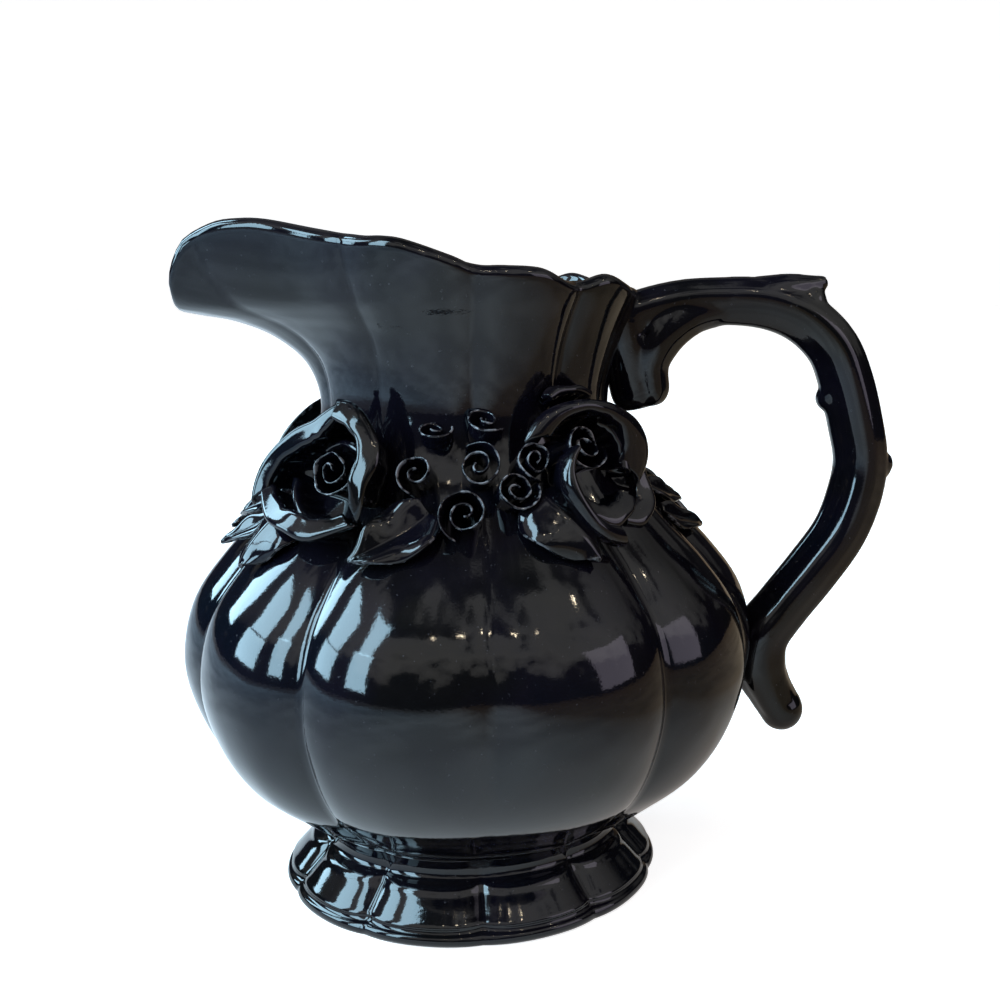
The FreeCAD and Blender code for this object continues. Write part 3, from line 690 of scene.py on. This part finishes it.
garland = []

# %% [markdown]
# A scroll is a strip of clay rolled up like a ribbon. Half circles that grow by
# one pitch each make the spiral, and each is one spin of the strip's last edge.

# %% Scrolls
SCROLL_CORE = 1.3 * MM
SCROLL_PITCH = 1.58 * MM
STRIP_THICKNESS = 0.80 * MM
STRIP_WIDTH = 9.0 * MM
STRIP_ROWS = 5
SPIN_STEPS = 9
WAVE_LENGTH = 4.5 * MM
TAPER_LENGTH = 3.5 * MM
FLARE_SHARE = 0.16
LEAN_SHARE = 0.42


def rolled_strip(scale, half_turns, low, high, seed):
    bm = bmesh.new()
    lip = bm.verts.layers.float.new("lip")
    core, pitch = SCROLL_CORE * scale, SCROLL_PITCH * scale
    start = core + STRIP_THICKNESS / 2
    heights = [low + (high - low) * row / STRIP_ROWS for row in range(STRIP_ROWS + 1)]
    column = [bm.verts.new((start, 0, height)) for height in heights]
    geometry = column + [bm.edges.new(pair) for pair in zip(column, column[1:])]
    for turn in range(half_turns):
        made = bmesh.ops.spin(
            bm, geom=geometry, cent=(pitch * (turn % 2), 0, 0), axis=(0, 0, 1),
            angle=math.pi, steps=SPIN_STEPS, use_merge=False, use_duplicate=False,
        )
        geometry = made["geom_last"]
    loose_end = [item for item in geometry if isinstance(item, bmesh.types.BMVert)]
    end_place = loose_end[0].co.copy()
    for vertex in bm.verts:
        height = (vertex.co.z - low) / (high - low)
        vertex[lip] = max(0.0, height * STRIP_ROWS - STRIP_ROWS + 1)
        wave = noise.noise(Vector((vertex.co.x, vertex.co.y, 0)) / WAVE_LENGTH + Vector((seed, 0, 0)))
        from_end = math.hypot(vertex.co.x - end_place.x, vertex.co.y - end_place.y)
        taper = math.exp(-((from_end / TAPER_LENGTH) ** 2))
        widen = 1 + FLARE_SHARE * height * height
        vertex.co.x *= widen
        vertex.co.y *= widen
        vertex.co.z += (high - low) * height * (0.16 * wave - 0.22 * taper)
    return bm


# Name, shares around and down, tilt, share of full size, half turns, spin, share
# of the strip's width.
SCROLL_SHARES = (
    ("scroll_one", -0.524, -0.262, 62.0, 0.80, 3, 200.0, 0.55),
    ("scroll_two", 0.194, -0.380, 62.0, 0.95, 3, 150.0, 0.55),
    ("scroll_three", -0.798, 0.361, 25.0, 0.90, 3, 60.0, 1.0),
    ("scroll_four", 0.057, 0.249, 24.0, 0.82, 4, 120.0, 1.0),
    ("scroll_five", -0.163, 0.806, 22.0, 0.90, 4, 250.0, 1.0),
    ("scroll_six", 0.516, 0.577, 24.0, 0.78, 4, 30.0, 1.0),
    ("scroll_seven", 0.807, 0.184, 30.0, 0.70, 4, 300.0, 1.0),
)
ROOT_DEPTH = 3.0 * MM
for seed, (name, around, drop, tilt, scale, half_turns, spin, width_share) in enumerate(SCROLL_SHARES):
    leans = width_share < 1
    angle, height = shoulder_spot(around, drop)
    out = outward(angle, tilt)
    reach = (SCROLL_CORE + SCROLL_PITCH * half_turns) * scale * LEAN_SHARE if leans else 0.0
    low = 0.0 if leans else -ROOT_DEPTH
    strip = rolled_strip(scale, half_turns, low, STRIP_WIDTH * width_share, seed * 7.3)
    place = polar(crest_radius(height) + reach, angle, height)
    aim = Vector((0, 0, 1)).rotation_difference(out).to_matrix().to_4x4()
    turned = Matrix.Translation(place) @ aim @ Matrix.Rotation(math.radians(spin), 4, "Z")
    bmesh.ops.transform(strip, matrix=turned, verts=strip.verts)
    garland += clay_sheet(strip, name, STRIP_THICKNESS)
print("scrolls:", len(garland))

# %% [markdown]
# A rose is a rolled bud inside rings of petals. Each petal is a patch of clay
# that flares from its root to its lip. The lip is ruffled, turned outwards and
# drawn to soft corners. Outer petals have broad lips that catch the window light,
# and no two petals have the same ruffle.

# %% Petals
# Shares of the way out and up from root to lip, then shares of the lip's width out
# and up. A cup has a rolled lip, a hood has a lip that falls away, and the broad lips
# rise or fall a little outwards.
CUP_SHARES = (
    (0.00, 0.00, 0, 0), (0.32, 0.12, 0, 0), (0.60, 0.28, 0, 0), (0.76, 0.52, 0, 0), (0.83, 0.78, 0, 0),
    (0.87, 0.96, 0, 0), (0.94, 1.06, 0, 0), (1.05, 1.05, 0, 0), (1.13, 0.95, 0, 0), (1.13, 0.81, 0, 0),
)
HOOD_SHARES = (
    (0.00, 0.00, 0, 0), (0.22, 0.14, 0, 0), (0.42, 0.34, 0, 0), (0.52, 0.60, 0, 0), (0.48, 0.84, 0, 0),
    (0.46, 1.00, 0, 0), (0.60, 1.07, 0, 0), (0.84, 1.06, 0, 0), (1.05, 0.97, 0, 0), (1.13, 0.81, 0, 0),
)
RISING_SHARES = (
    (0.00, 0.00, 0, 0), (0.34, 0.12, 0, 0), (0.62, 0.30, 0, 0), (0.84, 0.56, -0.10, 0),
    (0.96, 0.82, -0.34, 0.00), (1, 1, -0.56, -0.10), (1, 1, -0.36, 0.02), (1, 1, 0.00, 0.10),
    (1, 1, 0.36, 0.18), (1, 1, 0.56, 0.14), (1, 1, 0.60, -0.04),
)
FALLING_SHARES = (
    (0.00, 0.00, 0, 0), (0.34, 0.12, 0, 0), (0.62, 0.30, 0, 0), (0.84, 0.56, -0.10, 0),
    (0.96, 0.82, -0.34, 0.04), (1, 1, -0.54, 0.10), (1, 1, -0.34, 0.20), (1, 1, 0.00, 0.10),
    (1, 1, 0.34, -0.02), (1, 1, 0.52, -0.12), (1, 1, 0.54, -0.28),
)
LIP_WIDTH = 4.6 * MM
ROOT_NARROWING_SHARE = 0.75
PETAL_RIDGE = 0.28 * MM
RIDGED_SHARE = 0.65
PETAL_COLUMNS = 32
PETAL_ROWS = 18
PETAL_LIP = 0.8


def petal_sheet(seat, form, root, lip_rows, ruffle, seed):
    """A petal of one form, from its root to a lip given as rows of turn, radius and height."""
    bm = bmesh.new()
    lip = bm.verts.layers.float.new("lip")
    bmesh.ops.create_grid(bm, x_segments=PETAL_COLUMNS, y_segments=PETAL_ROWS, size=1.0)
    middle_turn = (lip_rows[0][0] + lip_rows[-1][0]) / 2
    for vertex in bm.verts:
        across, up = vertex.co.x, (vertex.co.y + 1) / 2
        turn, lip_radius, lip_height = smooth(lip_rows, (across + 1) / 2 * (len(lip_rows) - 1))
        narrowing = ROOT_NARROWING_SHARE + (1 - ROOT_NARROWING_SHARE) * up
        side = math.radians(middle_turn + (turn - middle_turn) * narrowing)
        flare, rise, shift, lift = smooth(form, up * (len(form) - 1))
        wave = math.sin(across * 4.2 + seed) + 0.6 * math.sin(across * 8.1 + seed * 2.3)
        free = max(0.0, up - 0.4) / 0.6
        radius = root + (lip_radius - root) * flare + LIP_WIDTH * shift + ruffle * wave * free**2
        radius += PETAL_RIDGE * math.sin(across * 17.0 + seed) * math.sin(math.pi * min(1.0, up / RIDGED_SHARE))
        height = -ROOT_DEPTH + (lip_height + ROOT_DEPTH) * rise + LIP_WIDTH * lift
        height += ruffle * math.cos(across * 3.6 + seed * 1.7) * free**2
        vertex[lip] = PETAL_LIP * max(0.0, up * PETAL_ROWS - PETAL_ROWS + 1)
        vertex.co = seat @ Vector((radius * math.cos(side), radius * math.sin(side), height))
    return bm


# Petals: name, form, share of the rose's radius at the root, ruffle, then the lip's
# rows: turn round the rose from its right, share of its radius, share of its depth.
LEFT_PETAL_SHARES = (
    ("low_inner_petal", CUP_SHARES, 0.36, 0.030, (
        (186, 0.80, 0.50), (215, 0.76, 0.62), (245, 0.78, 0.66), (275, 0.82, 0.62), (305, 0.84, 0.48))),
    ("high_inner_petal", CUP_SHARES, 0.36, 0.025, (
        (140, 0.50, 0.42), (100, 0.48, 0.52), (60, 0.52, 0.60), (25, 0.62, 0.56), (-8, 0.66, 0.42))),
    ("left_petal", RISING_SHARES, 0.52, 0.030, (
        (208, 1.34, 0.86), (186, 1.10, 0.98), (156, 0.78, 1.02), (122, 0.66, 1.04), (97, 0.70, 1.10),
        (76, 0.90, 1.12))),
    ("top_petal", FALLING_SHARES, 0.56, 0.030, (
        (90, 0.90, 1.14), (62, 0.92, 1.12), (38, 0.94, 1.03), (11, 0.88, 0.98), (-14, 0.80, 0.94),
        (-42, 0.94, 0.74))),
    ("bottom_petal", RISING_SHARES, 0.56, 0.045, (
        (190, 1.26, 0.78), (220, 1.08, 0.94), (252, 0.92, 1.03), (282, 0.94, 0.90), (316, 0.94, 0.66))),
)
RIGHT_PETAL_SHARES = (
    ("hood_petal", HOOD_SHARES, 0.44, 0.030, (
        (168, 0.98, 0.72), (138, 0.88, 0.96), (104, 0.74, 1.12), (68, 0.70, 1.16), (36, 0.88, 1.10),
        (13, 1.14, 0.98), (-8, 1.26, 0.78), (-30, 1.18, 0.52))),
    ("fold_petal", CUP_SHARES, 0.34, 0.015, (
        (178, 0.42, 1.22), (210, 0.76, 1.16), (238, 1.06, 1.16), (258, 1.32, 1.14), (280, 1.44, 1.00))),
    ("right_petal", CUP_SHARES, 0.34, 0.050, ((48, 0.62, 0.60), (10, 0.78, 0.66), (-28, 0.90, 0.56))),
    ("lower_petal", RISING_SHARES, 0.50, 0.060, ((-8, 1.18, 0.44), (-38, 1.46, 0.42), (-64, 1.28, 0.46))),
    ("bottom_petal", RISING_SHARES, 0.44, 0.060, ((-46, 1.06, 0.56), (-78, 1.08, 0.66), (-108, 0.88, 0.62))),
    ("back_petal", CUP_SHARES, 0.64, 0.040, ((112, 0.98, 0.52), (84, 1.02, 0.62), (58, 1.04, 0.52))),
)
ROSES = (
    ("left_rose", -2.093, 0.393, 24.0, LEFT_PETAL_SHARES, (1.2, 0.0), 1.0),
    ("right_rose", 1.559, 0.098, 22.0, RIGHT_PETAL_SHARES, (-1.2, 1.2), 1.02),
)
BUD_SHARE = 0.92
BUD_HALF_TURNS = 4
BUD_HEIGHT = 11.0 * MM
for rose_seed, (rose, around, drop, tilt, petals, bud_shift, bud_size) in enumerate(ROSES):
    angle, height = shoulder_spot(around, drop)
    right = polar(1.0, angle + 90, 0.0)
    seat = seat_matrix(polar(crest_radius(height), angle, height), outward(angle, tilt), right)
    bud = rolled_strip(BUD_SHARE * bud_size, BUD_HALF_TURNS, -ROOT_DEPTH, BUD_HEIGHT, rose_seed + 20.0)
    aside = Matrix.Translation(Vector((*bud_shift, 0.0)) * MM)
    bmesh.ops.transform(bud, matrix=seat @ aside, verts=bud.verts)
    garland += clay_sheet(bud, f"{rose}_bud", STRIP_THICKNESS)
    for seed, (name, form, root, ruffle, lip_shares) in enumerate(petals):
        lip_rows = [(turn, ROSE_RADIUS * out, ROSE_DEPTH * up) for turn, out, up in lip_shares]
        phase = seed * 1.9 + rose_seed
        sheet = petal_sheet(seat, form, ROSE_RADIUS * root, lip_rows, ROSE_RADIUS * ruffle, phase)
        garland += clay_sheet(sheet, f"{rose}_{name}", PETAL_THICKNESS)
print("garland pieces:", len(garland))

# %% [markdown]
# A leaf is a blade of clay that follows the shoulder, folded along its midrib,
# waved along its edges and curled a little at them. Its spine is walked over the
# wall step by step, so that it lies on the wall wherever it is placed.

# %% Leaves
LEAF_LENGTH = 26.0 * MM
LEAF_WIDTH = 17.0 * MM
LEAF_THICKNESS = 1.5 * MM
LEAF_FOLD = 3.2 * MM
LEAF_LIFT = 5.0 * MM
LEAF_CURL = 7.0 * MM
CURLED_SHARE = 0.55
LEAF_TILT = 40.0
BLADE_SHARES = ((0.58,), (0.94,), (1.04,), (0.98,), (0.82,), (0.60,), (0.33,), (0.04,))
LEAF_COLUMNS = 14
LEAF_ROWS = 22
# Name, shares around and down at the stalk, heading from straight down, then
# shares: length, width, lift at stalk, middle and tip, fold, wave.
LEAF_SHARES = (
    ("left_upper_leaf", -3.994, 0.656, -37.0, 0.68, 0.56, (0.40, 1.10, 1.00), 0.5, 0.12),
    ("left_side_leaf", -4.140, 1.049, -40.0, 0.70, 0.56, (0.20, 0.90, 0.80), 0.5, 0.12),
    ("left_lower_leaf", -3.150, 0.900, -14.0, 0.84, 1.05, (0.40, 0.80, 0.40), -0.9, 0.20),
    ("centre_left_leaf", -0.640, 0.680, -46.0, 1.00, 1.00, (0.80, 1.70, 0.50), 1.1, 0.26),
    ("centre_right_leaf", 0.860, 0.560, 26.0, 0.96, 1.20, (0.80, 1.40, 0.70), -1.0, 0.24),
    ("right_upper_leaf", 3.878, 0.688, 50.0, 0.68, 0.56, (0.40, 1.10, 1.00), 0.5, 0.12),
    ("right_lower_leaf", 4.038, 1.114, 58.0, 0.74, 0.56, (0.20, 0.90, 0.90), 0.5, 0.12),
)


def leaf_spine(angle, height, heading, length, lifts):
    """Rows of a place and the angle there, from the stalk to the tip."""
    stride = length / LEAF_ROWS
    probe = LEAF_THICKNESS
    spine = []
    for row in range(LEAF_ROWS + 1):
        along = row / LEAF_ROWS
        first, middle, last = lifts
        lift = first * (1 - along) ** 2 + 2 * middle * along * (1 - along) + last * along**2
        radius = crest_radius(height)
        spine.append(polar(radius + lift * LEAF_LIFT, angle, height))
        widening = crest_radius(height - probe) - radius
        steepness = probe / math.hypot(probe, widening)
        height -= stride * math.cos(math.radians(heading)) * steepness
        angle += math.degrees(stride * math.sin(math.radians(heading)) / radius)
    return spine


for seed, (name, around, drop, heading, long, wide, lifts, fold, wave) in enumerate(LEAF_SHARES):
    angle, height = shoulder_spot(around, drop)
    spine = leaf_spine(angle, height, heading, LEAF_LENGTH * long, lifts)
    bm = bmesh.new()
    lip = bm.verts.layers.float.new("lip")
    bmesh.ops.create_grid(bm, x_segments=LEAF_COLUMNS, y_segments=LEAF_ROWS, size=1.0)
    for vertex in bm.verts:
        across, up = vertex.co.x, (vertex.co.y + 1) / 2
        row = min(int(round(up * LEAF_ROWS)), LEAF_ROWS)
        along = (spine[min(row + 1, LEAF_ROWS)] - spine[max(row - 1, 0)]).normalized()
        side = along.cross(outward(angle, LEAF_TILT)).normalized()
        face = side.cross(along).normalized()
        share = smooth(BLADE_SHARES, up * (len(BLADE_SHARES) - 1))[0]
        half = LEAF_WIDTH * wide * share / 2
        crest = -LEAF_FOLD * fold * share * (1 - abs(across)) ** 1.2
        ruffle = LEAF_LIFT * wave * math.sin(up * 11 + seed * 2.1 + across) * across**2
        curl = -LEAF_CURL * wide * share * max(0.0, abs(across) - CURLED_SHARE) ** 2
        place = spine[row] + side * half * across + face * (crest + ruffle + curl)
        vertex[lip] = PETAL_LIP * max(0.0, abs(across) * 7 - 6, up * 14 - 13)
        vertex.co = place
    garland += clay_sheet(bm, name, LEAF_THICKNESS)
print("garland pieces:", len(garland))

# %% [markdown]
# Glaze, stage and room are drawn with shader nodes. Each helper adds one node to
# a tree and returns its output, so that a finish reads as a short recipe.


# %% Helpers for the finishes
def noise_in(tree, source, scale, detail, roughness=0.5):
    node = tree.nodes.new("ShaderNodeTexNoise")
    node.inputs["Scale"].default_value = scale
    node.inputs["Detail"].default_value = detail
    node.inputs["Roughness"].default_value = roughness
    tree.links.new(source, node.inputs["Vector"])
    return node.outputs["Fac"]


def map_range(tree, source, low_in, high_in, low_out, high_out):
    node = tree.nodes.new("ShaderNodeMapRange")
    node.inputs["From Min"].default_value = low_in
    node.inputs["From Max"].default_value = high_in
    node.inputs["To Min"].default_value = low_out
    node.inputs["To Max"].default_value = high_out
    tree.links.new(source, node.inputs["Value"])
    return node.outputs["Result"]


def colour_ramp(tree, source, stops):
    node = tree.nodes.new("ShaderNodeValToRGB")
    while len(node.color_ramp.elements) < len(stops):
        node.color_ramp.elements.new(0.5)
    for element, (position, colour) in zip(node.color_ramp.elements, stops):
        element.position = position
        element.color = (*colour, 1.0)
    tree.links.new(source, node.inputs["Fac"])
    return node.outputs["Color"]


def math_node(tree, operation, first, second):
    node = tree.nodes.new("ShaderNodeMath")
    node.operation = operation
    tree.links.new(first, node.inputs[0])
    tree.links.new(second, node.inputs[1])
    return node.outputs[0]


def mixed(tree, share, first, second):
    """A colour between two, each given as a node's output or as plain numbers."""
    node = tree.nodes.new("ShaderNodeMix")
    node.data_type = "RGBA"
    tree.links.new(share, node.inputs["Factor"])
    for number, colour in ((6, first), (7, second)):
        if isinstance(colour, tuple):
            node.inputs[number].default_value = (*colour, 1.0)
        else:
            tree.links.new(colour, node.inputs[number])
    return node.outputs[2]


def bumped(tree, height, strength, distance, normal=None):
    """The surface's direction after a bump, which may lie on another bump."""
    node = tree.nodes.new("ShaderNodeBump")
    node.inputs["Strength"].default_value = strength
    node.inputs["Distance"].default_value = distance
    tree.links.new(height, node.inputs["Height"])
    if normal is not None:
        tree.links.new(normal, node.inputs["Normal"])
    return node.outputs["Normal"]


# %% [markdown]
# The finish is a deep black gloss glaze. It is not one flat colour: a faint
# violet and blue lustre drifts over it, fine specks and pinholes dot it, and its
# surface is slightly wavy, which makes the reflections swim. On sharp edges of
# the applied clay the glaze pulled away while it melted and left a pale line.

# %% Glaze
BLACK = (0.0, 0.0, 0.0)
WHITE = (1.0, 1.0, 1.0)
THIN_PATCH = (0.15, 0.15, 0.15)
SPECK_COLOUR = (0.035, 0.032, 0.036)
WORN_COLOUR = (0.17, 0.16, 0.17)
LUSTRE_COLOURS = (
    (0.36, (0.0018, 0.0017, 0.0019)),
    (0.52, (0.0028, 0.0022, 0.0044)),
    (0.68, (0.0014, 0.0022, 0.0042)),
)
SWIM_HEIGHT = 1.8 * MM
PINHOLE_DEPTH = 0.10 * MM


def glaze_material(name, pale_edges):
    material = bpy.data.materials.new(name)
    material.use_nodes = True
    tree = material.node_tree
    shader = tree.nodes["Principled BSDF"]
    shader.inputs["IOR"].default_value = 1.40
    place = tree.nodes.new("ShaderNodeTexCoord").outputs["Object"]
    lustre = colour_ramp(tree, noise_in(tree, place, 26.0, 3.0), LUSTRE_COLOURS)
    specks = colour_ramp(tree, noise_in(tree, place, 900.0, 2.0, 0.6), ((0.70, BLACK), (0.76, WHITE)))
    colour = mixed(tree, specks, lustre, SPECK_COLOUR)
    if pale_edges:
        lip = tree.nodes.new("ShaderNodeAttribute")
        lip.attribute_name = "lip"
        patches = colour_ramp(tree, noise_in(tree, place, 420.0, 2.0), ((0.38, THIN_PATCH), (0.62, WHITE)))
        patchy = math_node(tree, "MULTIPLY", lip.outputs["Fac"], patches)
        worn = colour_ramp(tree, patchy, ((0.45, BLACK), (0.98, WHITE)))
        colour = mixed(tree, worn, colour, WORN_COLOUR)
    tree.links.new(colour, shader.inputs["Base Color"])
    rough = map_range(tree, noise_in(tree, place, 45.0, 4.0), 0.0, 1.0, 0.03, 0.10)
    tree.links.new(rough, shader.inputs["Roughness"])
    upright = tree.nodes.new("ShaderNodeMapping")
    upright.inputs["Scale"].default_value = (1.0, 1.0, 0.45)
    tree.links.new(place, upright.inputs["Vector"])
    swim = bumped(tree, noise_in(tree, upright.outputs["Vector"], 46.0, 1.0), 0.35, SWIM_HEIGHT)
    pinholes = bumped(tree, noise_in(tree, place, 1100.0, 2.0), 0.12, PINHOLE_DEPTH, normal=swim)
    tree.links.new(pinholes, shader.inputs["Normal"])
    return material


body_glaze = glaze_material("black_body_glaze", pale_edges=False)
applied_glaze = glaze_material("black_applied_glaze", pale_edges=True)
print("glazes:", body_glaze.name, applied_glaze.name)

# %% Give every piece its glaze, its body and the solids it stands for
body_pieces = [
    (body, ("belly", "neck_spout")),
    (foot, ("foot_ring",)),
    (handle, ("handle",)),
]
for piece, solids in body_pieces:
    piece.data.materials.append(body_glaze)
    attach(piece, "root")
    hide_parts(*solids)
for piece, solid in garland:
    piece.data.materials.append(applied_glaze)
    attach(piece, "root")
    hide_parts(solid)
print("pieces:", len(body_pieces) + len(garland))

# %% [markdown]
# The jug stands on a plain white floor before a plain white backdrop. The camera
# sees both as even white, and both take the jug's shadow. The glaze mirrors them
# as a real room looks: mottled, dimmer with height and warmer to the right.

# %% Floor and backdrop
STAGE_WHITE = 0.76
# Seen in the glaze only, from 0.6 m on the left to 0.4 m on the right.
FLOOR_TONES = (
    (0.00, (0.40, 0.42, 0.46)), (0.45, (0.80, 0.81, 0.84)), (0.62, (0.82, 0.80, 0.78)),
    (0.85, (0.34, 0.25, 0.17)),
)
FLOOR_SIZE = 14.0
FLOOR_DROP = 0.05 * MM
BACKDROP_SIZE = 5.8
BACKDROP_PLACE = Vector((0.9, 6.0, 1.5))


def white_to_camera(tree, camera_ray, colour, level):
    """Even white where the camera looks, and another colour for every other ray."""
    return mixed(tree, camera_ray, colour, (level, level, level))


def stage_material():
    material = bpy.data.materials.new("white_stage")
    material.use_nodes = True
    tree = material.node_tree
    nodes, links = tree.nodes, tree.links
    nodes.remove(nodes["Principled BSDF"])
    place = nodes.new("ShaderNodeTexCoord").outputs["Object"]
    axes = nodes.new("ShaderNodeSeparateXYZ")
    links.new(place, axes.inputs["Vector"])
    mottle = map_range(tree, noise_in(tree, place, 6.0, 2.0), 0.40, 0.60, 0.50, 0.68)
    dim = map_range(tree, axes.outputs["Z"], 0.0, 1.2, 1.0, 0.35)
    to_right = map_range(tree, axes.outputs["X"], -0.6, 0.4, 0.0, 1.0)
    floor_tone = colour_ramp(tree, to_right, FLOOR_TONES)
    mirrored = mixed(tree, math_node(tree, "MULTIPLY", mottle, dim), BLACK, floor_tone)
    rays = nodes.new("ShaderNodeLightPath")
    looks = white_to_camera(tree, rays.outputs["Is Camera Ray"], mirrored, STAGE_WHITE)
    seen = math_node(tree, "MAXIMUM", rays.outputs["Is Camera Ray"], rays.outputs["Is Glossy Ray"])
    seen = math_node(tree, "MAXIMUM", seen, rays.outputs["Is Transmission Ray"])
    glow = nodes.new("ShaderNodeEmission")
    links.new(looks, glow.inputs["Color"])
    links.new(seen, glow.inputs["Strength"])
    matt = nodes.new("ShaderNodeBsdfDiffuse")
    links.new(looks, matt.inputs["Color"])
    both = nodes.new("ShaderNodeAddShader")
    links.new(glow.outputs[0], both.inputs[0])
    links.new(matt.outputs[0], both.inputs[1])
    links.new(both.outputs[0], nodes["Material Output"].inputs["Surface"])
    return material


white_stage = stage_material()
stage_panels = (
    ("floor", FLOOR_SIZE, 0.0, Vector((0, 0, -FLOOR_DROP))),
    ("backdrop", BACKDROP_SIZE, math.pi / 2, BACKDROP_PLACE),
)
for name, size, turn, place in stage_panels:
    bm = bmesh.new()
    bmesh.ops.create_grid(bm, x_segments=1, y_segments=1, size=size / 2)
    turned = Matrix.Translation(place) @ Matrix.Rotation(turn, 4, "X")
    bmesh.ops.transform(bm, matrix=turned, verts=bm.verts)
    mesh = bpy.data.meshes.new(name)
    bm.to_mesh(mesh)
    bm.free()
    mesh.materials.append(white_stage)
    panel = bpy.data.objects.new(name, mesh)
    bpy.context.scene.collection.objects.link(panel)
    panel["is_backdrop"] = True
print("stage panels:", len(stage_panels))

# %% [markdown]
# The room is drawn in the world's own colours, by the direction that a ray takes:
# a dark band along the ground, a pale wall in front with a ragged lower edge, dark
# overhead and dim behind. The camera itself sees white there. Cool windows on the
# left, a lilac wall on the right and a few small warm spots mirror in the lobes.

# %% Room in the world's colours
WALL_TONES = (
    (0.00, (0.06, 0.06, 0.07)), (0.30, (0.09, 0.09, 0.10)), (0.36, (0.62, 0.61, 0.60)),
    (0.58, (1.05, 1.03, 1.00)), (0.84, (0.95, 0.95, 0.95)), (0.92, (0.22, 0.22, 0.23)),
    (1.00, (0.10, 0.10, 0.11)),
)
world = bpy.data.worlds.new("pale_room")
bpy.context.scene.world = world
world.use_nodes = True
room = world.node_tree
direction = room.nodes.new("ShaderNodeTexCoord").outputs["Generated"]
axes = room.nodes.new("ShaderNodeSeparateXYZ")
room.links.new(direction, axes.inputs["Vector"])
ragged = map_range(room, noise_in(room, direction, 4.5, 3.0), 0.3, 0.7, -0.22, 0.22)
wall_tone = colour_ramp(room, math_node(room, "ADD", axes.outputs["Z"], ragged), WALL_TONES)
in_front = map_range(room, axes.outputs["Y"], -0.35, 0.30, 1.0, 0.22)
room_tone = mixed(room, in_front, BLACK, wall_tone)
camera_ray = room.nodes.new("ShaderNodeLightPath").outputs["Is Camera Ray"]
background = room.nodes["Background"]
room.links.new(white_to_camera(room, camera_ray, room_tone, 1.0), background.inputs["Color"])
background.inputs["Strength"].default_value = 1.0
print("room nodes:", len(room.nodes))

# %% Lamps
middle = (cad_low + cad_high) / 2


def soft_box(name, place, width, height, watts, colour):
    lamp = bpy.data.lights.new(name, "AREA")
    lamp.shape = "RECTANGLE"
    lamp.size, lamp.size_y = width, height
    lamp.energy = watts
    lamp.color = colour
    box = bpy.data.objects.new(name, lamp)
    box.location = place
    box.rotation_euler = (middle - Vector(place)).to_track_quat("-Z", "Y").to_euler()
    box.visible_camera = False
    bpy.context.scene.collection.objects.link(box)


WINDOW_LIGHT = (0.50, 0.80, 1.0)
# Watts for each square metre of a pane.
WINDOW_POWER = 54.0
SPOT_LIGHT = (1.0, 0.84, 0.60)
SPOT_SIZE = 0.04
SPOT_WATTS = 0.8
LILAC_LIGHT = (0.88, 0.80, 1.0)
# Panes: name, place, width and height.
WINDOW_PANES = (
    ("near_low", (-1.30, -0.92, 0.62), 0.46, 0.82), ("near_high", (-1.30, -0.92, 1.56), 0.40, 0.86),
    ("far_low", (-1.58, -0.06, 0.50), 0.62, 0.56), ("far_high", (-1.58, -0.06, 1.24), 0.62, 0.74),
    ("back", (-1.40, 0.86, 1.25), 0.42, 1.50),
)
for pane, place, width, height in WINDOW_PANES:
    soft_box(f"window_{pane}", place, width, height, WINDOW_POWER * width * height, WINDOW_LIGHT)
SPOT_PLACES = ((-0.50, -1.5, 2.1), (0.06, -1.7, 2.4), (0.14, -1.6, 2.2), (0.70, -1.5, 2.2), (1.25, -0.7, 2.0))
for number, place in enumerate(SPOT_PLACES, 1):
    soft_box(f"spot_{number}", place, SPOT_SIZE, SPOT_SIZE, SPOT_WATTS, SPOT_LIGHT)
soft_box("lilac_wall", (1.90, -1.10, 0.75), 1.3, 1.2, 9.0, LILAC_LIGHT)
print("lamps:", len(bpy.data.lights))

# %% Camera
CAMERA_PLACE = Vector((-17.66, -404.5, 191.7)) * MM
CAMERA_AIM = Vector((39.19, -1.71, 119.3)) * MM
lens = bpy.data.cameras.new("camera")
lens.lens = 47.0
lens.sensor_width = 36.0
lens.shift_x = -0.0916
camera = bpy.data.objects.new("camera", lens)
camera.location = CAMERA_PLACE
camera.rotation_euler = (CAMERA_AIM - CAMERA_PLACE).to_track_quat("-Z", "Y").to_euler()
bpy.context.scene.collection.objects.link(camera)
bpy.context.scene.camera = camera
bpy.context.scene.view_settings.view_transform = "Standard"
print("camera at mm:", [round(v / MM, 1) for v in CAMERA_PLACE])

# %% Sizes of the frame and of the finished jug
low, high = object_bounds()
print("visual box in mm:", [round(v / MM, 1) for v in (*low, *high)])
